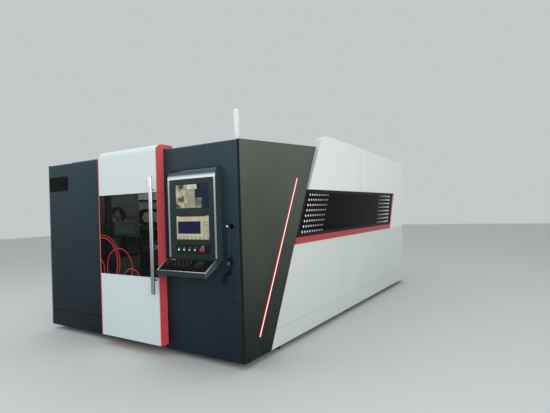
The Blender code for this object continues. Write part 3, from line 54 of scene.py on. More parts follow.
# %% Camera
FRAME_WIDTH = 550
FOCAL_PIXELS = 421
SENSOR = 36
CAMERA_PLACE = (4.271, -6.0145, 1.605)
CAMERA_TURN = 32.6
CAMERA_TILT = 90.4
CAMERA_LEAN = -1.79
camera_data = bpy.data.cameras.new("camera")
camera_data.sensor_width = SENSOR
camera_data.lens = FOCAL_PIXELS / FRAME_WIDTH * SENSOR
camera = bpy.data.objects.new("camera", camera_data)
bpy.context.scene.collection.objects.link(camera)
turn = Matrix.Rotation(math.radians(CAMERA_TURN), 4, "Z")
tilt = Matrix.Rotation(math.radians(CAMERA_TILT), 4, "X")
lean = Matrix.Rotation(math.radians(CAMERA_LEAN), 4, "Z")
camera.matrix_world = Matrix.Translation(CAMERA_PLACE) @ turn @ tilt @ lean
bpy.context.scene.camera = camera
print("lens", round(camera_data.lens, 2))

# %% [markdown]
# Three cords hang beside the console. A braided lanyard drops from the hook to the handset, a curly cord
# runs from the handset to its plug, and a thin cord wanders down the cabinet. Their routes are the same
# points as in the part's source, because each cord lies where its solid is. They count from three planes of
# the machine: the floor of its body, its front and its right side.

# %% Routes of the cords
BASE = 0.07
FRONT = -2.6575
SIDE = 1.72
# What lies on a solid stands this little off it, so that their faces don't share a plane.
GAP = 0.0003
HOOK_X = SIDE - 0.125
CORD_Y = FRONT - 0.037
HANDSET_X = SIDE - 0.156
HANDSET_Y = FRONT - GAP - 0.014
HANDSET_TOP = 1.063
HANDSET_HEIGHT = 0.09
PLUG_X = SIDE - 0.232
PLUG_Y = FRONT - GAP - 0.018
PLUG_TOP = 0.833
PLUG_LENGTH = 0.045
THIN_Y = FRONT - 0.005
LANYARD_ROUTE = (
    (HOOK_X, CORD_Y, BASE + 1.3714),
    (HOOK_X, CORD_Y, BASE + 1.345),
    (HOOK_X - 0.012, CORD_Y + 0.006, BASE + 1.22),
    (HANDSET_X, HANDSET_Y, BASE + 1.10),
    (HANDSET_X, HANDSET_Y, BASE + HANDSET_TOP + GAP),
)
CURLY_ROUTE = (
    (HANDSET_X, HANDSET_Y, BASE + HANDSET_TOP - HANDSET_HEIGHT - GAP),
    (HANDSET_X, HANDSET_Y, BASE + 0.960),
    (HANDSET_X, HANDSET_Y, BASE + 0.945),
    (HANDSET_X - 0.006, HANDSET_Y, BASE + 0.912),
    (HANDSET_X - 0.024, HANDSET_Y, BASE + 0.888),
    (HANDSET_X - 0.054, HANDSET_Y, BASE + 0.876),
    (PLUG_X, PLUG_Y, BASE + 0.860),
    (PLUG_X, PLUG_Y, BASE + 0.846),
    (PLUG_X, PLUG_Y, BASE + PLUG_TOP + GAP),
)
THIN_ROUTE = (
    (PLUG_X, PLUG_Y, BASE + PLUG_TOP - PLUG_LENGTH - GAP),
    (PLUG_X, PLUG_Y, BASE + 0.781),
    (PLUG_X, PLUG_Y, BASE + 0.775),
    (SIDE - 0.215, THIN_Y, BASE + 0.759),
    (SIDE - 0.155, THIN_Y, BASE + 0.741),
    (SIDE - 0.106, THIN_Y, BASE + 0.705),
    (SIDE - 0.101, THIN_Y, BASE + 0.690),
    (SIDE - 0.117, THIN_Y, BASE + 0.683),
    (SIDE - 0.158, THIN_Y, BASE + 0.683),
    (SIDE - 0.188, THIN_Y, BASE + 0.650),
    (SIDE - 0.165, THIN_Y, BASE + 0.625),
    (SIDE - 0.143, THIN_Y, BASE + 0.605),
    (SIDE - 0.122, THIN_Y, BASE + 0.591),
    (SIDE - 0.078, THIN_Y, BASE + 0.590),
)
print("route points", len(LANYARD_ROUTE) + len(CURLY_ROUTE) + len(THIN_ROUTE))

# %% [markdown]
# A cord runs smoothly through its route's points. A curve object could do that with its handles, but its
# length is only known once it is made. The Catmull-Rom rule gives such a line in plain numbers. It is drawn
# in fine steps and then cut into even ones, so that the cord's real length can be measured.

# %% Smooth lines through the routes
FINE_STEPS = 20
LANYARD_STEPS = 30
THIN_STEPS = 90


def smooth_route(route, count):
    """Points at even steps along a smooth curve through a route's own points."""
    route = [Vector(place) for place in route]
    ends = [2 * route[0] - route[1]] + route + [2 * route[-1] - route[-2]]
    fine = []
    for before, start, end, after in zip(ends, ends[1:], ends[2:], ends[3:]):
        for step in range(FINE_STEPS):
            t = step / FINE_STEPS
            bend = 2 * start + (end - before) * t
            bend += (2 * before - 5 * start + 4 * end - after) * t**2
            bend += (3 * start - before - 3 * end + after) * t**3
            fine.append(bend / 2)
    fine.append(route[-1])
    lengths = [0]
    for start, end in zip(fine, fine[1:]):
        lengths.append(lengths[-1] + (end - start).length)
    points = []
    index = 0
    for step in range(count + 1):
        target = lengths[-1] * step / count
        while index < len(fine) - 2 and lengths[index + 1] < target:
            index += 1
        share = (target - lengths[index]) / (lengths[index + 1] - lengths[index])
        points.append(fine[index].lerp(fine[index + 1], share))
    return points


def line_length(points):
    return sum((end - start).length for start, end in zip(points, points[1:]))


lanyard_points = smooth_route(LANYARD_ROUTE, LANYARD_STEPS)
thin_points = smooth_route(THIN_ROUTE, THIN_STEPS)
for name, points in (("lanyard", lanyard_points), ("thin cord", thin_points)):
    print(name, round(line_length(points), 3), "m")

# %% [markdown]
# A curly cord is a helix of thin cord round its route. A Screw modifier on a profile would only make a
# straight coil. Here each point is placed by a rule: two directions square to the route are carried along
# it, and the cord circles round them. At both ends the cord leaves the middle line slowly and only then
# starts to turn, so that no bend is tighter than the cord allows.

# %% Coil of the curly cord
CURLY_DIAMETER = 0.0038
CURLY_OUTER = 0.028
CURLY_PITCH = 0.0075
CURLY_RAMP = 0.030
CURLY_STEP = 0.0005
SPINE_STEPS = 400


def coil_points(route):
    """The helix round a route. Its radius and its turning both grow over a ramp at each end."""
    spine = smooth_route(route, SPINE_STEPS)
    total = line_length(spine)
    radius = (CURLY_OUTER - CURLY_DIAMETER) / 2
    count = round(total / CURLY_STEP)
    points = []
    across = Vector((1, 0, 0))
    turn_angle = 0
    for index in range(count + 1):
        place = SPINE_STEPS * index / count
        low = min(int(place), SPINE_STEPS - 1)
        centre = spine[low].lerp(spine[low + 1], place - low)
        tangent = (spine[low + 1] - spine[low]).normalized()
        across = (across - tangent * across.dot(tangent)).normalized()
        beside = tangent.cross(across)
        from_end = min(index, count - index) * total / count
        share = min(1, from_end / CURLY_RAMP)
        grown = radius * share * share * (3 - 2 * share)
        turn_angle += 2 * math.pi / CURLY_PITCH * total / count * share * share
        points.append(centre + grown * (math.cos(turn_angle) * across + math.sin(turn_angle) * beside))
    return points


curly_points = coil_points(CURLY_ROUTE)
print("curly cord", round(line_length(curly_points), 3), "m in", len(curly_points), "points")

# %% [markdown]
# Each cord becomes a curve object with a round bevel, which is a section that follows the line.

# %% Curves of the cords
CORD_DIAMETER = 0.003


def cord_curve(name, points, diameter):
    """A curve of one open spline with a round section."""
    curve = bpy.data.curves.new(name, "CURVE")
    curve.dimensions = "3D"
    curve.bevel_depth = diameter / 2
    curve.bevel_resolution = 2
    curve.use_fill_caps = True
    spline = curve.splines.new("POLY")
    spline.points.add(len(points) - 1)
    for point, place in zip(spline.points, points):
        point.co = (*place, 1)
    spline.use_smooth = True
    piece = bpy.data.objects.new(name, curve)
    bpy.context.scene.collection.objects.link(piece)
    return piece


lanyard_cord = cord_curve("lanyard_cord", lanyard_points, CORD_DIAMETER)
curly_wire = cord_curve("curly_wire", curly_points, CURLY_DIAMETER)
thin_line = cord_curve("thin_line", thin_points, CORD_DIAMETER)
print("curves", [cord.name for cord in (lanyard_cord, curly_wire, thin_line)])

# %% [markdown]
# The helpers for modelling by hand. An operator works on whatever is selected, and loading the model leaves
# its nodes selected, so everything is let go first. Faces are then picked in code, by their place or by the
# way that they face.

# %% Helpers for picking


def let_go():
    for chosen in bpy.context.selected_objects:
        chosen.select_set(False)


def hold(piece):
    """Selects one piece alone and makes it the active one."""
    let_go()
    piece.select_set(True)
    bpy.context.view_layer.objects.active = piece


def pick_faces(piece, test):
    """Opens the piece in edit mode with the faces that pass the test selected."""
    hold(piece)
    bpy.ops.object.mode_set(mode="EDIT")
    bpy.ops.mesh.select_mode(type="FACE")
    bpy.ops.mesh.select_all(action="DESELECT")
    bpy.ops.object.mode_set(mode="OBJECT")
    for face in piece.data.polygons:
        face.select = test(face.center, face.normal)
    bpy.ops.object.mode_set(mode="EDIT")


def pick_all(piece):
    pick_faces(piece, lambda centre, normal: True)


def done():
    bpy.ops.object.mode_set(mode="OBJECT")


print("left selected by the loading", len(bpy.context.selected_objects))

# %% [markdown]
# A new piece starts as a primitive at its size and place. Both move into its mesh at once, because a
# finished piece sits at the origin. What repeats is modelled once and copied, and each copy gets its own
# mesh.

# %% Helpers for new pieces


def settle(name):
    """Names the new primitive and moves its place, turn and scale into its mesh."""
    piece = bpy.context.object
    piece.name = name
    piece.data.name = name
    bpy.ops.object.transform_apply(location=True, rotation=True, scale=True)
    return piece


def new_block(name, low, high):
    """A cube primitive between two corners, as the start of a piece."""
    let_go()
    middle = [(a + b) / 2 for a, b in zip(low, high)]
    size = [b - a for a, b in zip(low, high)]
    bpy.ops.mesh.primitive_cube_add(size=1, location=middle, scale=size)
    return settle(name)


def new_cylinder(name, sides, radius, depth, middle=(0, 0, 0), turn=(0, 0, 0)):
    """A cylinder primitive about its middle, which stands upright unless it is turned."""
    let_go()
    bpy.ops.mesh.primitive_cylinder_add(
        vertices=sides, radius=radius, depth=depth, location=middle, rotation=turn
    )
    return settle(name)


def repeated(piece, moves, keep=False):
    """Copies of a piece, each moved by its own matrix. The piece itself goes, unless it is kept for more."""
    copies = []
    for move in moves:
        mesh = piece.data.copy()
        mesh.transform(move)
        copy = bpy.data.objects.new(piece.name, mesh)
        bpy.context.scene.collection.objects.link(copy)
        copies.append(copy)
    if not keep:
        bpy.data.objects.remove(piece)
    return copies


def joined(name, pieces):
    """One piece of several."""
    let_go()
    for piece in pieces:
        piece.select_set(True)
    bpy.context.view_layer.objects.active = pieces[0]
    bpy.ops.object.join()
    pieces[0].name = name
    pieces[0].data.name = name
    return pieces[0]


# %% [markdown]
# Most small parts get their form in the same few steps. A face is inset, which leaves a rim, and its middle
# is pushed in. Then a Bevel modifier softens the edges, and the faces that meet at a low angle are shaded
# smooth.

# %% Helpers for shaping
UP = (0, 0, 1)
FORWARDS = (0, -1, 0)
# A face looks one way if its normal keeps this share of its length along that way.
FACING = 0.9
BACKWARDS = (0, 1, 0)
# The turn that lays a primitive's Z axis along the machine's depth.
LYING = (math.pi / 2, 0, 0)
SMOOTH_ANGLE = math.radians(35)


def press(piece, way, rims, depth):
    """Insets the faces that look one way by each rim in turn, and pushes their middle in."""
    way = Vector(way)
    pick_faces(piece, lambda centre, normal: normal.dot(way) > FACING)
    for rim in rims:
        bpy.ops.mesh.inset(thickness=rim)
    bpy.ops.transform.translate(value=-depth * way)
    done()


def apply_modifier(piece, kind, **settings):
    """Adds a modifier with its settings and applies it."""
    hold(piece)
    modifier = piece.modifiers.new(kind, kind)
    for setting, value in settings.items():
        setattr(modifier, setting, value)
    bpy.ops.object.modifier_apply(modifier=modifier.name)


def bevel_edges(piece, width, segments=2):
    apply_modifier(piece, "BEVEL", width=width, segments=segments, limit_method="ANGLE", angle_limit=0.6)


def smooth(piece):
    hold(piece)
    bpy.ops.object.shade_smooth_by_angle(angle=SMOOTH_ANGLE)


print("shaded smooth below", round(math.degrees(SMOOTH_ANGLE)), "degrees")

# %% [markdown]
# Materials. Each starts from what the real finish is. Colours are written as sRGB hex and turned to linear
# by one function, and one small function adds a shader node with its settings and links. Most sockets go by
# name. Those of a Math node, and the colours of a Mix node, share a name and go by number instead.

# %% Helpers for materials
UNDER = 6
OVER = 7
MIXED = 2


def colour(code):
    """An sRGB hex colour as linear red, green, blue and alpha."""
    channels = [int(code[i : i + 2], 16) / 255 for i in (0, 2, 4)]
    linear = [c / 12.92 if c <= 0.04045 else ((c + 0.055) / 1.055) ** 2.4 for c in channels]
    return (*linear, 1)


def add_node(tree, kind, settings=None, links=None):
    """A shader node, with values for its settings and sockets, and links into its sockets."""
    made = tree.nodes.new(kind)
    for name, value in (settings or {}).items():
        if isinstance(name, str) and hasattr(made, name):
            setattr(made, name, value)
        else:
            made.inputs[name].default_value = value
    for name, source in (links or {}).items():
        tree.links.new(source, made.inputs[name])
    return made


def new_material(name, settings):
    """A material with a Principled shader whose own sockets have these values."""
    material = bpy.data.materials.new(name)
    material.use_nodes = True
    tree = material.node_tree
    shader = tree.nodes["Principled BSDF"]
    for socket, value in settings.items():
        shader.inputs[socket].default_value = value
    return material, tree, shader


print("white is", [round(c, 3) for c in colour("E0E6E4")])

# %% [markdown]
# Panels are folded sheets that meet in thin seams, and a sheet's edge face takes less light than its front.
# Seams could be cut into the mesh, but few are over 4 mm wide. So a coat may have zones of another tone:
# each lies within a half width of a place on one axis. A zone is a dark seam, or a painted shade or a
# painted highlight on a fold or an edge face. A coat may also have a tone for the faces that look
# forwards, which is painted shade.

# %% Seams, folds and edge faces
SEAM = 0.002


def in_zone(tree, axes, skin, zone):
    """Lays a zone's tone over the skin. A zone is (axis, place, half width, tone)."""
    axis, where, half, code = zone
    beside = add_node(tree, "ShaderNodeMath", {"operation": "SUBTRACT", 1: where}, {0: axes.outputs[axis]})
    off = add_node(tree, "ShaderNodeMath", {"operation": "ABSOLUTE"}, {0: beside.outputs[0]})
    inside = add_node(tree, "ShaderNodeMath", {"operation": "LESS_THAN", 1: half}, {0: off.outputs[0]})
    settings = {"data_type": "RGBA", OVER: colour(code)}
    links = {"Factor": inside.outputs[0], UNDER: skin}
    return add_node(tree, "ShaderNodeMix", settings, links).outputs[MIXED]


def facing_forwards(tree, skin, code):
    """Lays a tone over the faces that look forwards, which take less light than the sides."""
    normal = add_node(tree, "ShaderNodeNewGeometry").outputs["Normal"]
    parts = add_node(tree, "ShaderNodeSeparateXYZ", links={"Vector": normal})
    limits = {"From Min": -0.2, "From Max": -0.45}
    share = add_node(tree, "ShaderNodeMapRange", limits, {"Value": parts.outputs["Y"]})
    settings = {"data_type": "RGBA", OVER: colour(code)}
    links = {"Factor": share.outputs["Result"], UNDER: skin}
    return add_node(tree, "ShaderNodeMix", settings, links).outputs[MIXED]


print("seams are drawn", 2000 * SEAM, "mm wide")

# %% [markdown]
# Powder coat is plastic powder baked onto sheet steel. It dries to a satin skin with a fine orange peel,
# about 2 mm from crest to crest. The peel is a noise bump, drawn at 6 mm because 2 mm is under a pixel
# here. A coat's tone is a ramp over its height, from an upper to a lower tone, with a slow noise in it. The
# ramp is painted light: the upper part of a tall panel catches more light from above, so it is painted
# paler, and the part near the floor deeper. Faint streaks run down it as well.

# %% Powder coat
PEEL = 1 / 0.006
PATCH = 1 / 0.9
STREAK = 1 / 0.045
STREAK_STRETCH = 0.04
TONE_HEIGHT = 2.5


def powder_coat(name, upper, lower, roughness, zones=(), specular=0.35, front=None):
    """Satin powder coat, from its upper to its lower tone, with its zones and its forward tone."""
    material, tree, shader = new_material(name, {"Roughness": roughness, "Specular IOR Level": specular})
    place = add_node(tree, "ShaderNodeTexCoord").outputs["Object"]
    axes = add_node(tree, "ShaderNodeSeparateXYZ", links={"Vector": place})
    patch = add_node(tree, "ShaderNodeTexNoise", {"Scale": PATCH, "Detail": 3.0}, {"Vector": place})
    swing = {"To Min": -0.2, "To Max": 0.2}
    wander = add_node(tree, "ShaderNodeMapRange", swing, {"Value": patch.outputs["Fac"]})
    drawn = add_node(tree, "ShaderNodeMapping", {"Scale": (1, 1, STREAK_STRETCH)}, {"Vector": place})
    lines = {"Scale": STREAK, "Detail": 2.0}
    wiped = add_node(tree, "ShaderNodeTexNoise", lines, {"Vector": drawn.outputs["Vector"]})
    swing = {"To Min": -0.07, "To Max": 0.07}
    streak = add_node(tree, "ShaderNodeMapRange", swing, {"Value": wiped.outputs["Fac"]})
    # The ramp over the height is painted light: paler at the top, darker near the floor.
    level = add_node(tree, "ShaderNodeMapRange", {"From Max": TONE_HEIGHT}, {"Value": axes.outputs["Z"]})
    terms = {0: level.outputs["Result"], 1: wander.outputs["Result"]}
    slow = add_node(tree, "ShaderNodeMath", {"operation": "ADD"}, terms)
    terms = {0: slow.outputs[0], 1: streak.outputs["Result"]}
    share = add_node(tree, "ShaderNodeMath", {"operation": "ADD", "use_clamp": True}, terms)
    tone = add_node(tree, "ShaderNodeValToRGB", links={"Fac": share.outputs[0]})
    tone.color_ramp.elements[0].color = colour(lower)
    tone.color_ramp.elements[1].color = colour(upper)
    skin = tone.outputs["Color"]
    for zone in zones:
        skin = in_zone(tree, axes, skin, zone)
    if front:
        skin = facing_forwards(tree, skin, front)
    tree.links.new(skin, shader.inputs["Base Color"])
    peel = add_node(tree, "ShaderNodeTexNoise", {"Scale": PEEL, "Detail": 2.0}, {"Vector": place})
    relief = {"Strength": 0.12, "Distance": 0.001}
    bump = add_node(tree, "ShaderNodeBump", relief, {"Height": peel.outputs["Fac"]})
    tree.links.new(bump.outputs["Normal"], shader.inputs["Normal"])
    return material


front_slate = powder_coat("slate powder coat", "2F434A", "0C1B26", 0.45, specular=0.16)
print("peel drawn at", round(1000 / PEEL, 1), "mm")

# %% [markdown]
# The front cabinets and both side plates are slate. The left cabinet has a groove above its kick, and a
# dark band along the groove is painted shade. Each side plate shows its edge face at the front. The right
# plate's edge is in shade and is painted darker, a painted shade, and the left one's catches some light
# and is painted paler, a painted highlight.

# %% Slate coats
left_slate = powder_coat(
    "slate powder coat, left cabinet",
    "2D4147",
    "04121F",
    0.45,
    # A painted shade in the groove above the kick.
    zones=(("Z", BASE + 0.222, 0.008, "04080B"),),
    specular=0.15,
)
side_slate = powder_coat(
    "slate powder coat, side plates",
    "62675F",
    "0B1312",
    0.5,
    # A painted shade on the plate's front edge face.
    zones=(("Y", FRONT, SEAM, "151A1C"),),
    specular=0.12,
)
left_side_slate = powder_coat(
    "slate powder coat, left side plate",
    "62675F",
    "0B1312",
    0.5,
    # A painted highlight on the plate's front edge face.
    zones=(("Y", FRONT, 0.012, "3A4A4F"),),
    specular=0.12,
)
print("slate coats", 4)

# %% [markdown]
# The housing behind the front is white. Its zones are the seams where one sheet ends and the next begins:
# three across the upper side panels, and the joints of the rear wall and roof. The dark line along the
# foot of the lower side panels is painted shade where the sheet folds. The upper side panels also get a
# painted shade on their faces that look forwards.

# %% White coats
white_coat = powder_coat("white powder coat", "D9E3E2", "CFDCDF", 0.4)
upper_white = powder_coat(
    "white powder coat, upper side panels",
    "FCFEFA",
    "F3F7F1",
    0.4,
    zones=(("Y", 0.5135, 0.0035, "A9B0AE"), ("Y", -0.16, 0.0012, "C2C8C5"), ("Y", 2.34, SEAM, "B7BEBB")),
    # The tone of the forward faces is painted shade.
    front="BCC3C4",
)
lower_white = powder_coat(
    "white powder coat, lower side panels",
    "F3F7F0",
    "D2DAD8",
    0.4,
    # A painted shade along the fold at the foot of the panel.
    zones=(("Z", 0.272, SEAM, "A8B0AE"),),
)
REAR_SEAMS = (("X", -0.5632), ("X", 0.5632), ("Y", 0.3355), ("Y", 1.639))
rear_white = powder_coat(
    "white powder coat, rear wall and roof",
    "DDE5E4",
    "CDD7D8",
    0.42,
    zones=[(axis, where, SEAM, "8F9896") for axis, where in REAR_SEAMS],
)
print("rear seams", len(REAR_SEAMS))

# %% [markdown]
# The sill bands and the door's frame are red. The frame's coat is a paler copy of the sill bands' red,
# which is painted light on the frame's lit return. A dark band 29 mm wide is painted down the door's left
# post, where it meets the cabinet, and thin black joints part the frame from its skins.

# %% Red coats
red_coat = powder_coat("red powder coat", "BC4146", "B8383E", 0.36)
# The first is a dark band painted down the door's left post; the rest are thin black joints.
DOOR_JOINTS = (("X", -0.382, 0.0145), ("Y", -2.7662, 0.0012), ("Z", 0.884, 0.0015), ("Z", 1.839, 0.0015))
door_red = powder_coat(
    "red powder coat, door frame",
    # A paler red than the sill bands, painted light on the frame's lit return.
    "DC6468",
    "E85258",
    0.36,
    zones=[(*joint, "0E0A0B") for joint in DOOR_JOINTS],
)
print("door joints", len(DOOR_JOINTS))

# %% [markdown]
# The gantry and the bed are enamelled in greys. The console is lacquered nearly black. A paler line where
# its housing is folded at the right is a painted highlight, and so are the paler front and right edges of
# the tray, where they catch the light.

# %% Enamels and console lacquer
gantry_coat = powder_coat("gantry enamel", "D5D9DA", "C9CECF", 0.42)
bed_coat = powder_coat("bed enamel", "626B6F", "565F63", 0.5)
console_coat = powder_coat(
    "console lacquer",
    "26383A",
    "131C1E",
    0.36,
    # A painted highlight along the fold at the housing's right edge.
    zones=(("X", 1.476, 0.004, "364346"),),
    specular=0.2,
)
tray_coat = powder_coat(
    "console lacquer, tray",
    "12191B",
    "0B1011",
    0.5,
    # Painted highlights along the tray's front and right edges.
    zones=(("Y", -2.9425, 0.004, "283A3D"), ("X", 1.4785, 0.003, "46565A")),
    specular=0.1,
)
print("enamels and lacquers", 4)

# %% [markdown]
# Plastics and rubber. Moulded black plastic has a fine grain from its mould, about 0.5 mm. It is drawn at 2
# mm so that it shows. A pit of the grain is painted a little darker than its crest, a painted shade in the
# pit. Printing ink lies on such a surface, so the prints further down use the same function, and some of
# them are given a faint glow, which is painted light.

# %% Plastics
GRAIN = 0.002
PIT_SHARE = 0.85


def moulded(name, code, roughness, emission=0.0, specular=0.22):
    """Moulded plastic with the grain of its mould."""
    material, tree, shader = new_material(name, {"Roughness": roughness, "Specular IOR Level": specular})
    # A glow on a print is painted light.
    shader.inputs["Emission Strength"].default_value = emission
    shader.inputs["Emission Color"].default_value = colour(code)
    place = add_node(tree, "ShaderNodeTexCoord").outputs["Object"]
    speck = add_node(tree, "ShaderNodeTexNoise", {"Scale": 1 / GRAIN, "Detail": 2.0}, {"Vector": place})
    tone = add_node(tree, "ShaderNodeValToRGB", links={"Fac": speck.outputs["Fac"]})
    base = colour(code)
    # The pits of the grain get a painted shade.
    tone.color_ramp.elements[0].color = (*(channel * PIT_SHARE for channel in base[:3]), 1)
    tone.color_ramp.elements[1].color = base
    tree.links.new(tone.outputs["Color"], shader.inputs["Base Color"])
    relief = {"Strength": 0.15, "Distance": GRAIN / 4}
    bump = add_node(tree, "ShaderNodeBump", relief, {"Height": speck.outputs["Fac"]})
    tree.links.new(bump.outputs["Normal"], shader.inputs["Normal"])
    return material


black_abs = moulded("black moulded ABS", "0E1012", 0.42)
black_rubber = moulded("black rubber", "0F1011", 0.6)
grey_braid = moulded("grey braided nylon", "5A6063", 0.7)
stop_plastic = moulded("red moulded plastic", "C9252C", 0.28)
collar_plastic = moulded("grey moulded plastic", "6E7577", 0.42)
key_abs = moulded("black key caps", "0A0A0B", 0.5, specular=0.08)
board_abs = moulded("black moulded ABS, keyboard", "050607", 0.55, specular=0.08)
print("plastics", 7)

# %% [markdown]
# Metals. Brushed aluminium is drawn over an abrasive belt, which leaves hair lines along one direction.
# They are a noise that is stretched along that direction, read by the roughness and a slight bump. Ground
# steel is the same with its lines along the rails. A metal may change its tone over a shade. On the hook
# that is its real black base below the bright ball. On the handle it is a painted reflection, darker
# towards its foot, and on the console's trim a painted reflection over the top of its roll and a painted
# shade on its right side.

# %% Metals
HAIR_LINE = 0.0012
HAIR_STRETCH = 60.0


def brushed(name, code, roughness, along, shades=()):
    """Brushed metal with its hair lines along X, Y or Z. A shade is (axis, none here, full here, tone): a
    painted reflection or painted shade, or a band of another colour.
    """
    material, tree, shader = new_material(name, {"Base Color": colour(code), "Metallic": 1.0})
    place = add_node(tree, "ShaderNodeTexCoord").outputs["Object"]
    stretch = [1.0 if axis == along else HAIR_STRETCH for axis in "XYZ"]
    laid = add_node(tree, "ShaderNodeMapping", {"Scale": stretch}, {"Vector": place})
    lines = {"Scale": 1 / (HAIR_STRETCH * HAIR_LINE), "Detail": 3.0}
    hair = add_node(tree, "ShaderNodeTexNoise", lines, {"Vector": laid.outputs["Vector"]})
    swing = {"To Min": roughness - 0.06, "To Max": roughness + 0.1}
    matt = add_node(tree, "ShaderNodeMapRange", swing, {"Value": hair.outputs["Fac"]})
    tree.links.new(matt.outputs["Result"], shader.inputs["Roughness"])
    relief = {"Strength": 0.08, "Distance": 0.0005}
    bump = add_node(tree, "ShaderNodeBump", relief, {"Height": hair.outputs["Fac"]})
    tree.links.new(bump.outputs["Normal"], shader.inputs["Normal"])
    axes = add_node(tree, "ShaderNodeSeparateXYZ", links={"Vector": place})
    skin = None
    for axis, start, end, tone in shades:
        limits = {"From Min": start, "From Max": end}
        share = add_node(tree, "ShaderNodeMapRange", limits, {"Value": axes.outputs[axis]})
        tones = {"data_type": "RGBA", UNDER: colour(code), OVER: colour(tone)}
        mixed = add_node(tree, "ShaderNodeMix", tones, {"Factor": share.outputs["Result"]})
        if skin:
            tree.links.new(skin, mixed.inputs[UNDER])
        skin = mixed.outputs[MIXED]
        tree.links.new(skin, shader.inputs["Base Color"])
    return material


# The handle's shade is a painted reflection, darker towards its foot.
handle_metal = brushed("brushed aluminium, handle", "FAFBFC", 0.3, "Z", shades=(("Z", 2.0, 0.9, "9BA1A5"),))
trim_metal = brushed(
    "brushed aluminium, console trim",
    "B4BBBE",
    0.24,
    "X",
    # A painted reflection over the roll's top and a painted shade on the right side.
    shades=(("Z", 1.978, 2.006, "3E4C56"), ("X", 1.4745, 1.4755, "3A464B")),
)
edge_metal = brushed("brushed aluminium, tray edging", "E4E8EA", 0.3, "X")
ground_steel = brushed("ground steel", "8F9598", 0.3, "Y")
foot_steel = brushed("zinc plated steel", "9CA0A0", 0.35, "Z")
hook_chrome = brushed(
    "chrome plate on a blackened base",
    "A4A9AC",
    0.2,
    "Y",
    shades=(("Y", FRONT - 0.022, FRONT - 0.020, "0B0C0D"),),
)
copper = brushed("turned copper", "B87A55", 0.25, "X")
print("metals", 7)

# %% [markdown]
# The slats of the pallet are plain steel strip that the beam nicks with every sheet, so their teeth are
# burnt brown and crusted. The burnt tone comes in over the last 40 mm of height, broken up by noise.

# %% Burnt slats
slat_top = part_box("slatted_pallet")[1][2]
slat_steel, tree, shader = new_material("burnt slat steel", {"Metallic": 0.7, "Roughness": 0.5})
place = add_node(tree, "ShaderNodeTexCoord").outputs["Object"]
height = add_node(tree, "ShaderNodeSeparateXYZ", links={"Vector": place}).outputs["Z"]
crust = add_node(tree, "ShaderNodeTexNoise", {"Scale": 40.0, "Detail": 6.0}, {"Vector": place})
limits = {"From Min": slat_top - 0.045, "From Max": slat_top - 0.005}
burn = add_node(tree, "ShaderNodeMapRange", limits, {"Value": height})
factors = {0: burn.outputs["Result"], 1: crust.outputs["Fac"]}
broken = add_node(tree, "ShaderNodeMath", {"operation": "MULTIPLY"}, factors)
tone = add_node(tree, "ShaderNodeValToRGB", links={"Fac": broken.outputs[0]})
tone.color_ramp.elements[0].color = colour("7F8486")
tone.color_ramp.elements[1].color = colour("3A2A20")
tone.color_ramp.elements[1].position = 0.6
tree.links.new(tone.outputs["Color"], shader.inputs["Base Color"])
print("teeth end at", round(slat_top, 4))

# %% [markdown]
# The panes are thick acrylic, tinted nearly black against the laser's light, so one sees into the machine
# only dimly. Full refraction would be slow and noisy here. The tint is made with alpha instead: most of the
# pane is a black gloss and the rest lets light straight through. A slow noise in the roughness is dust.

# %% Tinted panes
ACRYLIC_IOR = 1.49
PANE_GLOSS = 0.12
pane_tint, tree, shader = new_material(
    "laser safe acrylic",
    {"Base Color": colour("050708"), "IOR": ACRYLIC_IOR, "Alpha": 0.42, "Specular IOR Level": PANE_GLOSS},
)
place = add_node(tree, "ShaderNodeTexCoord").outputs["Object"]
film = add_node(tree, "ShaderNodeTexNoise", {"Scale": 2.5, "Detail": 4.0}, {"Vector": place})
dust = add_node(tree, "ShaderNodeMapRange", {"To Min": 0.03, "To Max": 0.09}, {"Value": film.outputs["Fac"]})
tree.links.new(dust.outputs["Result"], shader.inputs["Roughness"])


def tinted(name, alpha, specular=PANE_GLOSS):
    """The same acrylic in another thickness: more alpha is a darker pane."""
    tint = pane_tint.copy()
    tint.name = name
    sockets = tint.node_tree.nodes["Principled BSDF"].inputs
    sockets["Alpha"].default_value = alpha
    sockets["Specular IOR Level"].default_value = specular
    return tint


right_tint = tinted("laser safe acrylic, right window", 0.8, 0.03)
left_tint = tinted("laser safe acrylic, left window", 0.45)
print("panes", 3)

# %% [markdown]
# The light strip on the right side plate is a milky diffuser over a row of lamps, in a red carrier. Its
# glow fades over the width: nearly white in the middle and red along both edges. The distance from the
# middle line is a dot product of the place with the direction across the strip.

# %% Light strip
# The strip's box is longer than its middle line, because its square ends lean.
STRIP_END_Y = 0.023
STRIP_END_Z = 0.012
strip_low, strip_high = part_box("light_bar")
strip_middle = (strip_low + strip_high) / 2
strip_size = strip_high - strip_low
strip_along = Vector((0, strip_size[1] - STRIP_END_Y, strip_size[2] - STRIP_END_Z)).normalized()
strip_across = Vector((0, strip_along.z, -strip_along.y))
strip_glow, tree, shader = new_material("milky diffuser", {"Roughness": 0.3, "Emission Strength": 0.75})
place = add_node(tree, "ShaderNodeTexCoord").outputs["Object"]
from_middle = {"operation": "SUBTRACT", 1: strip_middle}
shifted = add_node(tree, "ShaderNodeVectorMath", from_middle, {0: place})
along_width = {"operation": "DOT_PRODUCT", 1: strip_across}
across = add_node(tree, "ShaderNodeVectorMath", along_width, {0: shifted.outputs["Vector"]})
off = add_node(tree, "ShaderNodeMath", {"operation": "ABSOLUTE"}, {0: across.outputs["Value"]})
limits = {"From Min": 0.0045, "From Max": 0.0095}
edge = add_node(tree, "ShaderNodeMapRange", limits, {"Value": off.outputs[0]})
tone = add_node(tree, "ShaderNodeValToRGB", links={"Fac": edge.outputs["Result"]})
tone.color_ramp.elements[0].color = colour("F8DAD4")
tone.color_ramp.elements[1].color = colour("C0363A")
tree.links.new(tone.outputs["Color"], shader.inputs["Base Color"])
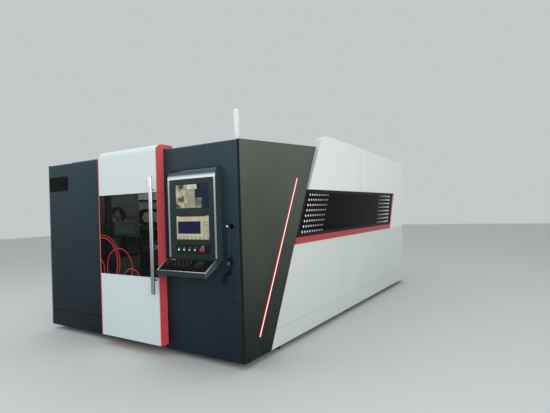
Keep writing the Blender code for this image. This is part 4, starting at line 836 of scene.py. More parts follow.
tree.links.new(tone.outputs["Color"], shader.inputs["Emission Color"])
print("strip runs along", [round(v, 3) for v in strip_along])

# %% [markdown]
# The push buttons have lit caps, brighter in the middle where the lamp sits. Two are lit green and two are
# off, and the pale lenses of the two that are off are given a faint glow too, which is painted light. The
# glow falls off with the distance from the middle.

# %% Lit caps
# The last two caps are off; their faint glow is painted light.
CAP_LIGHTS = (("62E8A8", 1.0), ("8FCDB4", 0.75), ("97A3A0", 0.5), ("A9B4B1", 0.5))


def lit_cap(name, code, strength, centre):
    """A lit cap: the glow falls off from the lamp in its middle."""
    material, tree, shader = new_material(name, {"Roughness": 0.25, "Base Color": colour(code)})
    shader.inputs["Emission Strength"].default_value = strength
    place = add_node(tree, "ShaderNodeTexCoord").outputs["Object"]
    away = add_node(tree, "ShaderNodeVectorMath", {"operation": "DISTANCE", 1: centre}, {0: place})
    limits = {"From Min": 0.003, "From Max": 0.014}
    fade = add_node(tree, "ShaderNodeMapRange", limits, {"Value": away.outputs["Value"]})
    tone = add_node(tree, "ShaderNodeValToRGB", links={"Fac": fade.outputs["Result"]})
    tone.color_ramp.elements[0].color = colour(code)
    tone.color_ramp.elements[1].color = colour("2E3A36")
    tree.links.new(tone.outputs["Color"], shader.inputs["Emission Color"])
    return material


caps = {}
for number, (code, strength) in enumerate(CAP_LIGHTS, 1):
    low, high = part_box(f"push_button_{number}")
    middle = Vector(((low[0] + high[0]) / 2, low[1], (low[2] + high[2]) / 2))
    caps[f"push_button_{number}"] = lit_cap(f"lit cap {number}", code, strength, middle)
print("caps", len(caps))

# %% [markdown]
# The beacon's dome is frosted acrylic, white all through, with a faint ribbing of its lens every 12 mm of
# its height. The ribs are a sine of the height, used as a bump.

# %% Frosted beacon
RIB_PITCH = 0.012
frosted, tree, shader = new_material(
    "frosted acrylic", {"Base Color": colour("F3F6F5"), "Roughness": 0.3, "Transmission Weight": 0.15}
)
place = add_node(tree, "ShaderNodeTexCoord").outputs["Object"]
height = add_node(tree, "ShaderNodeSeparateXYZ", links={"Vector": place}).outputs["Z"]
per_rib = {"operation": "MULTIPLY", 1: 2 * math.pi / RIB_PITCH}
turns = add_node(tree, "ShaderNodeMath", per_rib, {0: height})
ribs = add_node(tree, "ShaderNodeMath", {"operation": "SINE"}, {0: turns.outputs[0]})
bump = add_node(tree, "ShaderNodeBump", {"Strength": 0.3, "Distance": 0.001}, {"Height": ribs.outputs[0]})
tree.links.new(bump.outputs["Normal"], shader.inputs["Normal"])
print("ribs every", 1000 * RIB_PITCH, "mm")

# %% [markdown]
# Now each CAD node gets its finish, through its own material slots. The nodes are listed by finish. What
# isn't in the list is a levelling foot, a lit cap or a cord.

# %% Finishes on the CAD nodes
FINISHES = (
    (bed_coat, "base_frame machine_bed carriage"),
    (ground_steel, "gantry_rail_left gantry_rail_right door_rail"),
    (gantry_coat, "gantry_beam cutting_head"),
    (slat_steel, "slatted_pallet"),
    (left_slate, "left_cabinet"),
    (front_slate, "console_cabinet front_roof"),
    (left_side_slate, "left_wedge_plate"),
    (side_slate, "right_wedge_plate"),
    (lower_white, "left_lower_panel right_lower_panel"),
    (upper_white, "left_upper_panel right_upper_panel"),
    (rear_white, "rear_wall main_roof"),
    (white_coat, "door_upper_skin door_lower_skin"),
    (red_coat, "left_sill_band right_sill_band"),
    (door_red, "door_frame"),
    (left_tint, "left_window"),
    (right_tint, "right_window"),
    (pane_tint, "door_window"),
    (handle_metal, "door_handle"),
    (strip_glow, "light_bar"),
    (console_coat, "console_housing"),
    (trim_metal, "console_trim"),
    (tray_coat, "keyboard_tray"),
    (board_abs, "keyboard name_plate"),
    (black_abs, "cable_chain upper_monitor lower_monitor button_plate handset"),
    (collar_plastic, "stop_collar"),
    (stop_plastic, "stop_button"),
    (hook_chrome, "pendant_hook"),
    (black_rubber, "cord_plug"),
    (frosted, "beacon_base beacon_lens"),
)
finishes = {name: finish for finish, names in FINISHES for name in names.split()}
finishes.update(caps)
for name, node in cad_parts.items():
    finish = foot_steel if name.startswith("foot_") else finishes.get(name, black_rubber)
    for slot in range(len(node.material_slots)):
        node.material_slots[slot].material = finish
print("nodes finished", len(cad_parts))

# %% [markdown]
# The thin cord ends in a small steel ferrule. It starts as a cylinder whose two end faces are inset, and it
# is turned to look along the cord's last step, because a ferrule is crimped on in line with its cord.

# %% Ferrule of the thin cord
ferrule = new_cylinder("cord_ferrule", 16, 0.0026, 0.011)
pick_faces(ferrule, lambda centre, normal: abs(normal.z) > FACING)
bpy.ops.mesh.inset(thickness=0.0007)
done()
bevel_edges(ferrule, 0.0006)
smooth(ferrule)
end_way = (thin_points[-1] - thin_points[-2]).normalized()
end_turn = end_way.to_track_quat("Z", "Y").to_matrix().to_4x4()
ferrule.data.transform(Matrix.Translation(thin_points[-1] + end_way * 0.003) @ end_turn)
ferrule.data.materials.append(foot_steel)
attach(ferrule, "machine")
print("ferrule faces", len(ferrule.data.polygons))

# %% [markdown]
# Each stands for its solid in the CAD model, which is hidden.

for cord_piece, finish, node in (
    (lanyard_cord, grey_braid, "lanyard"),
    (curly_wire, black_rubber, "curly_cord"),
    (thin_line, black_rubber, "thin_cord"),
):
    cord_piece.data.materials.append(finish)
    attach(cord_piece, "machine")
    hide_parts(node)
print("cords declared", 3)

# %% [markdown]
# The door's pane carries a print of thin red rings that the pane's edges cut off. Each ring starts as a
# circle of edges that is extruded inwards, the flat ring is bisected at the pane's edges, and Solidify
# gives it the thickness of a film.

# %% Rings printed on the door's pane
FILM = 0.0004
PANE_RIM = 0.002
# Each ring: its middle's x and z, its radius and its width.
RINGS = (
    (-0.04, 0.965, 0.235, 0.008),
    (-0.35, 1.033, 0.322, 0.006),
    (-0.365, 1.03, 0.298, 0.009),
    (0.18, 0.812, 0.155, 0.0075),
    (-0.485, 0.92, 0.165, 0.0075),
)
pane_low, pane_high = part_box("door_window")
PANE_CUTS = (
    ((pane_low[0] + PANE_RIM, 0, 0), (-1, 0, 0)),
    ((pane_high[0] - PANE_RIM, 0, 0), (1, 0, 0)),
    ((0, 0, pane_low[2] + PANE_RIM), (0, 0, -1)),
    ((0, 0, pane_high[2] - PANE_RIM), (0, 0, 1)),
)


def as_film(piece):
    apply_modifier(piece, "SOLIDIFY", thickness=FILM, offset=0)


def flat_ring(name, centre_x, centre_z, radius, width):
    """A flat ring that faces forwards, clipped to the pane."""
    centre = Vector((centre_x, pane_low[1] - GAP, centre_z))
    let_go()
    bpy.ops.mesh.primitive_circle_add(vertices=96, radius=radius, location=centre, rotation=LYING)
    ring = settle(name)
    bpy.ops.object.mode_set(mode="EDIT")
    bpy.ops.mesh.select_all(action="SELECT")
    bpy.ops.mesh.extrude_edges_move()
    done()
    inner_share = (radius - width) / radius
    for vertex in ring.data.vertices:
        if vertex.select:
            vertex.co = centre + (vertex.co - centre) * inner_share
    for point, normal in PANE_CUTS:
        pick_all(ring)
        bpy.ops.mesh.bisect(plane_co=point, plane_no=normal, clear_outer=True)
        done()
    as_film(ring)
    return ring


rings = [flat_ring(f"ring_{index}", *ring) for index, ring in enumerate(RINGS)]
door_rings = joined("door_rings", rings)
# The print's faint glow is painted light.
door_rings.data.materials.append(moulded("red screen print", "D8343A", 0.35, emission=0.12))
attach(door_rings, "front_door")
print("rings", len(rings), "faces", len(door_rings.data.polygons))

# %% [markdown]
# The side windows carry rows of white dots that shrink away from the slanted edge, with smaller rows at the
# rear edge. One dot is modelled as a disc with an inset rim, and copied. The left side mirrors the right.

# %% Edges of the side windows
window_low, window_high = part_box("right_window")
SLANT = 0.5172
REAR_SLANT = 0.3826


def slant_y(z):
    """The wedge's slanted rear edge at a height."""
    return FRONT + 0.47 + SLANT * (z - BASE)


def rear_edge_y(z):
    """The window's slanted rear edge at a height."""
    return FRONT + 4.756 + REAR_SLANT * (z - BASE - 1.184)


def window_face(side):
    """Where a film lies on a side window: 1 is the right side, -1 the left."""
    return side * (window_high[0] + FILM)


print("window's front edge", round(slant_y(window_low[2]), 3), "to", round(slant_y(window_high[2]), 3))

# %% Dots printed on the side windows
ROWS = 8
ROW_PITCH = 0.0674
FIRST_ROW = BASE + 1.713
SHRINK = 0.055
FRONT_DOTS = 9
FRONT_DOT = 0.031
FRONT_START = 0.138
FRONT_PITCH = 0.068
REAR_DOTS = 12
REAR_DOT = 0.034
REAR_START = 0.140
REAR_PITCH = 0.055
REAR_LIFT = 0.005
let_go()
bpy.ops.mesh.primitive_circle_add(vertices=16, radius=0.5, fill_type="NGON", rotation=(0, math.pi / 2, 0))
dot = settle("window_dot")
pick_all(dot)
bpy.ops.mesh.inset(thickness=0.06)
done()
dots = []
for side in (1, -1):
    for row in range(ROWS):
        z = FIRST_ROW - row * ROW_PITCH
        for index in range(FRONT_DOTS):
            y = slant_y(z) + FRONT_START + FRONT_PITCH * index
            dots.append((window_face(side), y, z, FRONT_DOT * (1 - SHRINK * index)))
        for index in range(REAR_DOTS):
            y = rear_edge_y(z) - REAR_START - REAR_PITCH * index
            dots.append((window_face(side), y, z + REAR_LIFT, REAR_DOT * (1 - SHRINK * index)))
moves = [Matrix.Translation((x, y, z)) @ Matrix.Scale(size, 4) for x, y, z, size in dots]
window_dots = joined("window_dots", repeated(dot, moves))
as_film(window_dots)
# The print's faint glow is painted light.
window_dots.data.materials.append(moulded("white screen print", "F4F6F6", 0.4, emission=0.08))
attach(window_dots, "machine")
print("dots", len(dots), "faces", len(window_dots.data.polygons))

# %% [markdown]
# A black border is printed along the edges of each side window, as round a car's windscreen, to hide the
# glue. A plane is pulled to the pane's outline, its face is inset by the border's width and the middle is
# deleted.

# %% Black borders on the side windows
BORDER = 0.038
RIM_ENDS = 0.010
RIM_SIDES = 0.002


def black_border(side):
    let_go()
    bpy.ops.mesh.primitive_plane_add(size=2)
    border = settle("window_border")
    for corner in border.data.vertices:
        z = window_low[2] + RIM_SIDES if corner.co.y < 0 else window_high[2] - RIM_SIDES
        y = slant_y(z) + RIM_ENDS if corner.co.x < 0 else rear_edge_y(z) - RIM_ENDS
        corner.co = (window_face(side), y, z)
    pick_all(border)
    bpy.ops.mesh.inset(thickness=BORDER)
    bpy.ops.mesh.delete(type="FACE")
    done()
    as_film(border)
    return border


window_borders = joined("window_borders", [black_border(1), black_border(-1)])
window_borders.data.materials.append(moulded("black ceramic print", "050606", 0.5))
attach(window_borders, "machine")
print("border faces", len(window_borders.data.polygons))

# %% [markdown]
# Each monitor shows a picture behind its glass. A picture is made of plain fields of colour that glow
# softly, as a lit screen does. Each field has two tones in slow patches, which stand for what a program
# draws there.

# %% Finishes for the screens


def lit_field(name, light, dark, strength, scale):
    """A field on a lit screen: two tones in slow patches."""
    settings = {"Roughness": 0.15, "Specular IOR Level": 0.15, "Emission Strength": strength}
    material, tree, shader = new_material(name, settings)
    place = add_node(tree, "ShaderNodeTexCoord").outputs["Object"]
    patch = add_node(tree, "ShaderNodeTexNoise", {"Scale": scale, "Detail": 1.5}, {"Vector": place})
    tone = add_node(tree, "ShaderNodeValToRGB", links={"Fac": patch.outputs["Fac"]})
    tone.color_ramp.elements[0].position = 0.38
    tone.color_ramp.elements[0].color = colour(dark)
    tone.color_ramp.elements[1].position = 0.62
    tone.color_ramp.elements[1].color = colour(light)
    tree.links.new(tone.outputs["Color"], shader.inputs["Emission Color"])
    shader.inputs["Base Color"].default_value = colour("101214")
    return material


beige_field = lit_field("screen, beige panel", "C9C6A8", "BDBA9C", 0.8, 14.0)
navy_field = lit_field("screen, navy canvas", "15184A", "11133C", 0.8, 8.0)
strip_field = lit_field("screen, red bar", "B5383A", "9E2F33", 0.8, 20.0)
camera_field = lit_field("screen, live picture", "C8C6B4", "6A6C60", 0.75, 9.0)
shade_field = lit_field("screen, shaded band", "1E2644", "161B30", 0.7, 12.0)
bright_field = lit_field("screen, bright patch", "E4E6DE", "B4B6AC", 0.85, 16.0)
key_field = lit_field("screen, soft keys", "A9A88E", "98977F", 0.8, 25.0)
streak_field = lit_field("screen, streaks of light", "C6C2A2", "3C3F46", 0.8, 18.0)
print("screen fields", 8)

# %% [markdown]
# A picture could be many small planes side by side, but then their edges show. Instead one sheet is cut
# with bisect where the fields meet, and each face takes the finish of the field that it lies in. A rule
# says which field that is, from how far to the right (u) and how far up (v) the face lies, as shares of the
# picture.

# %% Sheet of a picture
BEZEL = 0.006


def picture(name, monitor, cuts_x, cuts_z, rule, materials):
    """A sheet on a monitor's face, cut at shares of its width and height, with a finish for each cell."""
    low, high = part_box(monitor)
    x0, x1 = low[0] + BEZEL, high[0] - BEZEL
    z0, z1 = low[2] + BEZEL, high[2] - BEZEL
    let_go()
    middle = ((x0 + x1) / 2, low[1] - FILM, (z0 + z1) / 2)
    bpy.ops.mesh.primitive_plane_add(size=1, location=middle, rotation=LYING)
    bpy.context.object.scale = (x1 - x0, z1 - z0, 1)
    sheet = settle(name)
    cuts = [((x0 + share * (x1 - x0), 0, 0), (1, 0, 0)) for share in cuts_x]
    cuts += [((0, 0, z0 + share * (z1 - z0)), (0, 0, 1)) for share in cuts_z]
    for point, normal in cuts:
        pick_all(sheet)
        bpy.ops.mesh.bisect(plane_co=point, plane_no=normal)
        done()
    for material in materials:
        sheet.data.materials.append(material)
    for cell in sheet.data.polygons:
        u = (cell.center.x - x0) / (x1 - x0)
        v = (cell.center.z - z0) / (z1 - z0)
        cell.material_index = rule(u, v)
    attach(sheet, "machine")
    return sheet


print("picture ends", BEZEL, "m inside the monitor's edge")

# %% [markdown]
# The lower monitor shows a drawing program: a dark canvas in a pale panel, a red bar over it, and keys to
# the right of the canvas and below it. The upper one shows a dark canvas with a live picture and columns of
# values. Both are only fields of colour, with no words or drawings in them.

# %% Pictures on the monitors
CANVAS, BAR, KEYS = 1, 2, 3
SHADE, BRIGHT, COLUMN, STREAKS = 1, 2, 3, 4
KEY_LINES = 20
KEY_SPACES = 16


def lower_rule(u, v):
    if v > 0.965 and 0.1 < u < 0.92:
        return BAR
    if 0.04 < u < 0.75 and 0.24 < v < 0.77:
        return CANVAS
    if u > 0.82 and 0.2 < v < 0.8 and int(v * KEY_LINES) % 2 == 0:
        return KEYS
    if v < 0.14 and int(u * KEY_SPACES) % 2 == 1:
        return KEYS
    return 0


def upper_rule(u, v):
    if u > 0.80:
        return SHADE
    if 0.36 < u < 0.66 and v > 0.80:
        return BRIGHT
    if 0.36 < u < 0.60:
        return COLUMN
    if u < 0.36:
        return STREAKS
    return 0 if v < 0.42 else SHADE


lower_sheet = picture(
    "lower_picture",
    "lower_monitor",
    [0.04, 0.75, 0.82, 0.92, 0.1] + [n / KEY_SPACES for n in range(1, KEY_SPACES)],
    [0.965, 0.77, 0.24, 0.14] + [n / KEY_LINES for n in range(4, 17)],
    lower_rule,
    (beige_field, navy_field, strip_field, key_field),
)
upper_sheet = picture(
    "upper_picture",
    "upper_monitor",
    [0.36, 0.60, 0.66, 0.80],
    [0.42, 0.80],
    upper_rule,
    (camera_field, shade_field, bright_field, key_field, streak_field),
)
print("picture cells", len(lower_sheet.data.polygons) + len(upper_sheet.data.polygons))

# %% [markdown]
# The tray slopes towards the operator, and the keyboard lies on it. Small parts are modelled flat at the
# origin, where a face that looks up is easy to pick, and are then laid on the slope by one matrix: a turn
# about X and a move down the slope from its rear edge.

# %% Slope of the tray
board_low, board_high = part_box("keyboard")
tray_low, tray_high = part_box("keyboard_tray")
TRAY_SLOPE = 0.6579
# The slope starts at its crest, at the depth of the console, and the tray starts a little further down.
TRAY_CREST = 1.054
CONSOLE_DEPTH = 0.095
TRAY_REAR = 0.1213
slope_angle = math.atan(TRAY_SLOPE)
slope_turn = Matrix.Rotation(slope_angle, 4, "X")
along_slope = Vector((0, -math.cos(slope_angle), -math.sin(slope_angle)))
board_rear = (board_high[1], board_high[2])
tray_rear = (tray_high[1], BASE + TRAY_CREST - TRAY_SLOPE * (TRAY_REAR - CONSOLE_DEPTH))


def on_slope(rear, x, distance):
    """Lays what is flat at the origin on the slope, at x and a distance down from a rear edge."""
    return Matrix.Translation(Vector((x, *rear)) + along_slope * distance) @ slope_turn


print("slope", round(math.degrees(slope_angle), 1), "degrees")

# %% [markdown]
# The keyboard has low square keys. One key is a cube whose top face is inset and pushed in, with a bevel
# round its edges, and the rest are copies. The space bar takes the place of seven keys in the last row.

# %% Keys of the keyboard
KEY = 0.0165
KEY_PITCH = 0.0192
ROW_STEP = KEY_PITCH + 0.002
KEY_RISE = 0.004
KEY_COLUMNS = 19
KEY_ROWS = 6
KEY_MARGIN = 0.022
SPACE_COLUMNS = range(3, 10)
SPACE_HALF = 3.4 * KEY_PITCH


def key_place(row, column):
    return on_slope(board_rear, board_low[0] + KEY_MARGIN + column * KEY_PITCH, KEY_MARGIN + row * ROW_STEP)


key = new_block("key", (-KEY / 2, -KEY / 2, 0), (KEY / 2, KEY / 2, KEY_RISE))
press(key, UP, [0.0022], 0.0006)
bevel_edges(key, 0.0006, 1)
smooth(key)
key_places = [
    key_place(row, column)
    for row in range(KEY_ROWS)
    for column in range(KEY_COLUMNS)
    if row < KEY_ROWS - 1 or column not in SPACE_COLUMNS
]
keys = repeated(key, key_places)
space = new_block("space_bar", (-SPACE_HALF, -KEY / 2, 0), (SPACE_HALF, KEY / 2, KEY_RISE))
bevel_edges(space, 0.0012)
smooth(space)
space.data.transform(key_place(KEY_ROWS - 1, 6))
keyboard_keys = joined("keyboard_keys", keys + [space])
keyboard_keys.data.materials.append(key_abs)
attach(keyboard_keys, "machine")
print("keys", len(keys) + 1)

# %% [markdown]
# The print on the keys is only seen as grey specks from a few steps away, and no letters are drawn. A speck
# is a thin flat block on the upper left of a key, on two of every three keys. A pale bar lies above the
# first row.

# %% Prints on the keyboard
speck = new_block("key_speck", (-0.0045, -0.0008, KEY_RISE + 0.0002), (0.001, 0.0022, KEY_RISE + 0.0005))
speck_places = [
    key_place(row, column)
    for row in range(KEY_ROWS - 1)
    for column in range(KEY_COLUMNS)
    if (row * 7 + column * 5) % 3
]
specks = repeated(speck, speck_places)
bar = new_block("key_bar", (-0.035, -0.003, 0.0002), (0.035, 0.003, 0.0012))
bar.data.transform(on_slope(board_rear, board_low[0] + 0.07, 0.006))
key_prints = joined("key_prints", specks + [bar])
bevel_edges(key_prints, 0.0001, 1)
key_prints.data.materials.append(moulded("grey key print", "A9ACAA", 0.5))
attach(key_prints, "machine")
print("printed keys", len(specks))

# %% [markdown]
# A touchpad with two buttons is at the right of the keys. The pad is a low block whose top is inset and
# pushed in, which leaves a rim for the fingers to feel. One button is modelled and copied.

# %% Touchpad
PAD_HALF_WIDTH = 0.052
PAD_HALF_DEPTH = 0.036
PAD_DISTANCE = 0.058
BUTTON_DISTANCE = 0.112
BUTTON_OFFSET = 0.026
pad_x = board_high[0] - 0.115
pad = new_block("pad", (-PAD_HALF_WIDTH, -PAD_HALF_DEPTH, 0), (PAD_HALF_WIDTH, PAD_HALF_DEPTH, 0.003))
press(pad, UP, [0.004], 0.0015)
bevel_edges(pad, 0.0008)
smooth(pad)
pad.data.transform(on_slope(board_rear, pad_x, PAD_DISTANCE))
pad_button = new_block("pad_button", (-0.023, -0.008, 0), (0.023, 0.008, 0.0035))
bevel_edges(pad_button, 0.0015)
smooth(pad_button)
button_places = [on_slope(board_rear, pad_x + side * BUTTON_OFFSET, BUTTON_DISTANCE) for side in (-1, 1)]
touchpad = joined("touchpad", [pad] + repeated(pad_button, button_places))
touchpad.data.materials.append(black_abs)
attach(touchpad, "machine")
print("touchpad faces", len(touchpad.data.polygons))

# %% [markdown]
# The tray is edged with bright aluminium. Each strip is a block that is bevelled to a soft bead, and it
# lies along the tray's sides and its front edge.

# %% Bright edging on the tray
BEAD_WIDTH = 0.007
BEAD_RISE = 0.0035
BEAD_MARGIN = 0.0005
tray_reach = (tray_high[1] - tray_low[1]) / math.cos(slope_angle) - 0.006
side_in = BEAD_WIDTH / 2 + BEAD_MARGIN
bead = new_block("bead", (-BEAD_WIDTH / 2, -tray_reach, GAP), (BEAD_WIDTH / 2, -0.001, BEAD_RISE))
bevel_edges(bead, 0.0014)
beads = repeated(bead, [on_slope(tray_rear, x, 0) for x in (tray_low[0] + side_in, tray_high[0] - side_in)])
half = (tray_high[0] - tray_low[0]) / 2 - BEAD_WIDTH - 2 * BEAD_MARGIN
front_bead = new_block("bead", (-half, -BEAD_WIDTH, GAP), (half, 0, BEAD_RISE))
bevel_edges(front_bead, 0.0014)
front_bead.data.transform(on_slope(tray_rear, (tray_low[0] + tray_high[0]) / 2, tray_reach - BEAD_WIDTH))
tray_edging = joined("tray_edging", beads + [front_bead])
smooth(tray_edging)
tray_edging.data.materials.append(edge_metal)
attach(tray_edging, "machine")
print("tray reach", round(tray_reach, 3))

# %% [markdown]
# Each button on the plate has a pale mark above it, and the emergency stop has a wider one. They are
# engraved on the real plate. A cut that is filled with paint lies flush, so a thin flat block does as well.

# %% Marks on the button plate
plate_low, plate_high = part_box("button_plate")
plate_face = plate_low[1] - GAP
MARK_HALF = 0.009
mark_spans = []
for number in range(1, 5):
    low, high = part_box(f"push_button_{number}")
    x = (low[0] + high[0]) / 2
    mark_spans.append((x - MARK_HALF, x + MARK_HALF, high[2] + 0.010, high[2] + 0.0145))
stop_low, stop_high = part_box("stop_collar")
mark_spans.append((stop_low[0] + 0.012, stop_high[0], stop_high[2] + 0.004, stop_high[2] + 0.012))
marks = []
for low_x, high_x, low_z, high_z in mark_spans:
    mark = new_block("mark", (low_x, plate_face - FILM, low_z), (high_x, plate_face, high_z))
    bevel_edges(mark, 0.0001, 1)
    marks.append(mark)
plate_marks = joined("plate_marks", marks)
plate_marks.data.materials.append(moulded("pale engraving", "9AA3A3", 0.5))
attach(plate_marks, "machine")
print("marks", len(marks))

# %% [markdown]
# At the right end of the plate are a key switch and two round caps over sockets. Turned parts start as a
# cylinder that lies along Y. Its end face is inset and pushed in, which leaves a dish with a rim.

# %% Fittings on the button plate


def knob(name, x, z, radius, rise, dish):
    """A round cap on the plate with a dished face."""
    cap = new_cylinder(name, 24, radius, rise, (x, plate_face - rise / 2, z), LYING)
    press(cap, FORWARDS, [radius * 0.3], dish)
    bevel_edges(cap, radius * 0.08)
    smooth(cap)
    return cap


switch_x = plate_high[0] - 0.030
cap_z = plate_low[2] + 0.016
fittings = [
    knob("switch_ring", switch_x, plate_low[2] + 0.050, 0.013, 0.006, 0.003),
    knob("socket_cap", switch_x + 0.002, cap_z, 0.008, 0.004, 0.0015),
    knob("socket_cap", switch_x - 0.028, cap_z, 0.008, 0.004, 0.0015),
]
plate_fittings = joined("plate_fittings", fittings)
plate_fittings.data.materials.append(black_rubber)
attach(plate_fittings, "machine")
print("fittings", len(fittings))

# %% [markdown]
# The handset's face has a small display with a rim, and a block of nine keys below it. One key is a block
# with rounded edges, and the rest are copies.

# %% Keys and display of the handset
hand_low, hand_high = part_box("handset")
hand_face = hand_low[1] - GAP
hand_x = (hand_low[0] + hand_high[0]) / 2
hand_key = new_block("hand_key", (-0.0045, -0.0018, -0.004), (0.0045, 0, 0.004))
bevel_edges(hand_key, 0.0012)
smooth(hand_key)
hand_places = [
    Matrix.Translation((hand_x + (column - 1) * 0.0135, hand_face, hand_low[2] + 0.016 + row * 0.0125))
    for row in range(3)
    for column in range(3)
]
handset_keys = joined("handset_keys", repeated(hand_key, hand_places))
handset_keys.data.materials.append(collar_plastic)
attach(handset_keys, "machine")
display = new_block(
    "handset_display",
    (hand_x - 0.017, hand_face - 0.0015, hand_high[2] - 0.034),
    (hand_x + 0.017, hand_face, hand_high[2] - 0.012),
)
press(display, FORWARDS, [0.0025], 0.0008)
bevel_edges(display, 0.0004, 1)
display.data.materials.append(key_abs)
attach(display, "machine")
print("handset keys", len(hand_places))

# %% [markdown]
# Socket head screws hold the machine's parts together. One screw is a cylinder whose end face is inset and
# pushed in for the key, and the rim is bevelled. It is modelled at the origin, two metres wide and looking
# up, and each copy is scaled and turned to look along its own way. Screws on one body are one piece.

# %% One screw for all
screw = new_cylinder("screw", 16, 1, 1, (0, 0, 0.5))
press(screw, UP, [0.42], 0.55)
bevel_edges(screw, 0.12, 1)
smooth(screw)


def screws(name, body, places, way, radius, rise):
    """Copies of the screw at these places, all looking along one way."""
    turn = Vector(way).to_track_quat("Z", "Y").to_matrix().to_4x4()
    shape = turn @ Matrix.Diagonal((radius, radius, rise, 1))
    moves = [Matrix.Translation(Vector(place) + Vector(way) * GAP) @ shape for place in places]
    piece = joined(name, repeated(screw, moves, keep=True))
    piece.data.materials.append(foot_steel)
    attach(piece, body)
    return piece


print("screw faces", len(screw.data.polygons))

# %% [markdown]
# Rows of screws hold the roof sheets down on both sides, the gantry's top plate, the carriage's back and
# the cutting head. Each row is placed from the box of the node that it is screwed into.

# %% Rows of screws
ROOF_SCREWS = 16
ROOF_PITCH = 0.2468
GANTRY_SCREWS = 11
GANTRY_PITCH = 0.2
CARRIAGE_PITCH = 0.125
HEAD_SCREW_HEIGHTS = (1.30, 1.40, 1.52)
gantry_y = FRONT + 1.10
roof_low, roof_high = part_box("main_roof")
gantry_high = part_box("gantry_beam")[1]
carriage_low, carriage_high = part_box("carriage")
head_low, head_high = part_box("cutting_head")
roof_places = [
    (side * (roof_high[0] - 0.05), roof_low[1] + 0.10 + ROOF_PITCH * index, roof_high[2])
    for side in (-1, 1)
    for index in range(ROOF_SCREWS)
]
gantry_places = [
    (GANTRY_PITCH * index - 1.0, gantry_y + 0.06, gantry_high[2]) for index in range(GANTRY_SCREWS)
]
carriage_places = [
    (side * 0.14, carriage_high[1], carriage_low[2] + 0.06 + CARRIAGE_PITCH * index)
    for side in (-1, 1)
    for index in range(4)
]
head_places = [(side * 0.024, head_high[1], z) for side in (-1, 1) for z in HEAD_SCREW_HEIGHTS]
screws("roof_screws", "machine", roof_places, UP, 0.010, 0.006)
screws("gantry_screws", "gantry", gantry_places, UP, 0.008, 0.008)
screws("carriage_screws", "carriage", carriage_places, BACKWARDS, 0.007, 0.007)
screws("head_screws", "head", head_places, BACKWARDS, 0.0055, 0.005)
print("screws", len(roof_places) + len(gantry_places) + len(carriage_places) + len(head_places))

# %% [markdown]
# The beam of the gantry is hollow, with a cover over each half of its front. A cover is a plate with
# softened edges and a pressed field in it, and it is held by a screw near each corner.

# %% Covers on the gantry
COVER_NEAR = 0.08
COVER_FAR = 0.98
COVER_FOOT = 1.20
COVER_TOP = 1.35
COVER_THICKNESS = 0.004
SCREW_IN = 0.015
cover_back = gantry_y - 0.13 - GAP
cover_face = cover_back - COVER_THICKNESS
cover_places = []
covers = []
for low_x, high_x in ((-COVER_FAR, -COVER_NEAR), (COVER_NEAR, COVER_FAR)):
    cover = new_block("gantry_cover", (low_x, cover_face, COVER_FOOT), (high_x, cover_back, COVER_TOP))
    press(cover, FORWARDS, [0.03, 0.004], 0.0025)
    bevel_edges(cover, 0.0008)
    covers.append(cover)
    for x in (low_x + SCREW_IN, high_x - SCREW_IN):
        for z in (COVER_FOOT + SCREW_IN, COVER_TOP - SCREW_IN):
            cover_places.append((x, cover_face, z))
gantry_covers = joined("gantry_covers", covers)
smooth(gantry_covers)
gantry_covers.data.materials.append(bed_coat)
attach(gantry_covers, "gantry")
screws("cover_screws", "gantry", cover_places, FORWARDS, 0.006, 0.004)
print("cover screws", len(cover_places))

# %% [markdown]
# A copper ring holds the nozzle at the foot of the cutting head, and a rubber cover closes the fiber's
# socket on its top. A ring has a hole through it. It starts solid, both of its end faces are inset, and
# bridging the two inner faces opens the hole.

# %% Ring and cover on the cutting head


def opened(piece, axis, wall):
    """Opens a hole along an axis, leaving a wall of this thickness."""
    pick_faces(piece, lambda centre, normal: abs(normal["XYZ".index(axis)]) > FACING)
    bpy.ops.mesh.inset(thickness=wall, use_individual=True)
    bpy.ops.mesh.bridge_edge_loops()
    done()
    return piece


head_y = head_high[1] - 0.07
nozzle_ring = new_cylinder("nozzle_ring", 32, 0.0195, 0.010, (0, head_y, head_low[2] + 0.017))
opened(nozzle_ring, "Z", 0.0058)
bevel_edges(nozzle_ring, 0.0008)
smooth(nozzle_ring)
nozzle_ring.data.materials.append(copper)
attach(nozzle_ring, "head")
socket_cover = new_cylinder("fiber_socket_cover", 24, 0.016, 0.020, (0, head_y, head_high[2] + 0.010 + GAP))
press(socket_cover, UP, [0.004], 0.003)
bevel_edges(socket_cover, 0.0012)
smooth(socket_cover)
socket_cover.data.materials.append(black_rubber)
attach(socket_cover, "head")
print("ring faces", len(nozzle_ring.data.polygons))

# %% [markdown]
# Each levelling foot has a hexagonal nut that locks its thread. It is opened in the same way as the ring.
# The rear wall's loading slot is lined with rubber, a long frame that is a block opened from front to back.

# %% Nuts on the feet and lining of the slot
FOOT_X = SIDE - 0.11
FOOT_DEPTHS = (0.72, 2.72, 4.72)
SLOT_HALF = 0.9195
SLOT_FRONT = 2.9130
SLOT_BACK = 2.9420
SLOT_FOOT = 0.7410
SLOT_TOP = 1.1100
nut = opened(new_cylinder("foot_nut", 6, 0.024, 0.014, (0, 0, 0.052)), "Z", 0.0068)
bevel_edges(nut, 0.0012, 1)
foot_places = [
    Matrix.Translation((side * FOOT_X, FRONT + depth, 0)) for side in (-1, 1) for depth in FOOT_DEPTHS
]
foot_nuts = joined("foot_nuts", repeated(nut, foot_places))
foot_nuts.data.materials.append(foot_steel)
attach(foot_nuts, "machine")
slot_lining = new_block("slot_lining", (-SLOT_HALF, SLOT_FRONT, SLOT_FOOT), (SLOT_HALF, SLOT_BACK, SLOT_TOP))
opened(slot_lining, "Y", 0.008)
bevel_edges(slot_lining, 0.002)
smooth(slot_lining)
slot_lining.data.materials.append(black_rubber)
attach(slot_lining, "machine")
print("nuts", len(foot_places), "lining faces", len(slot_lining.data.polygons))

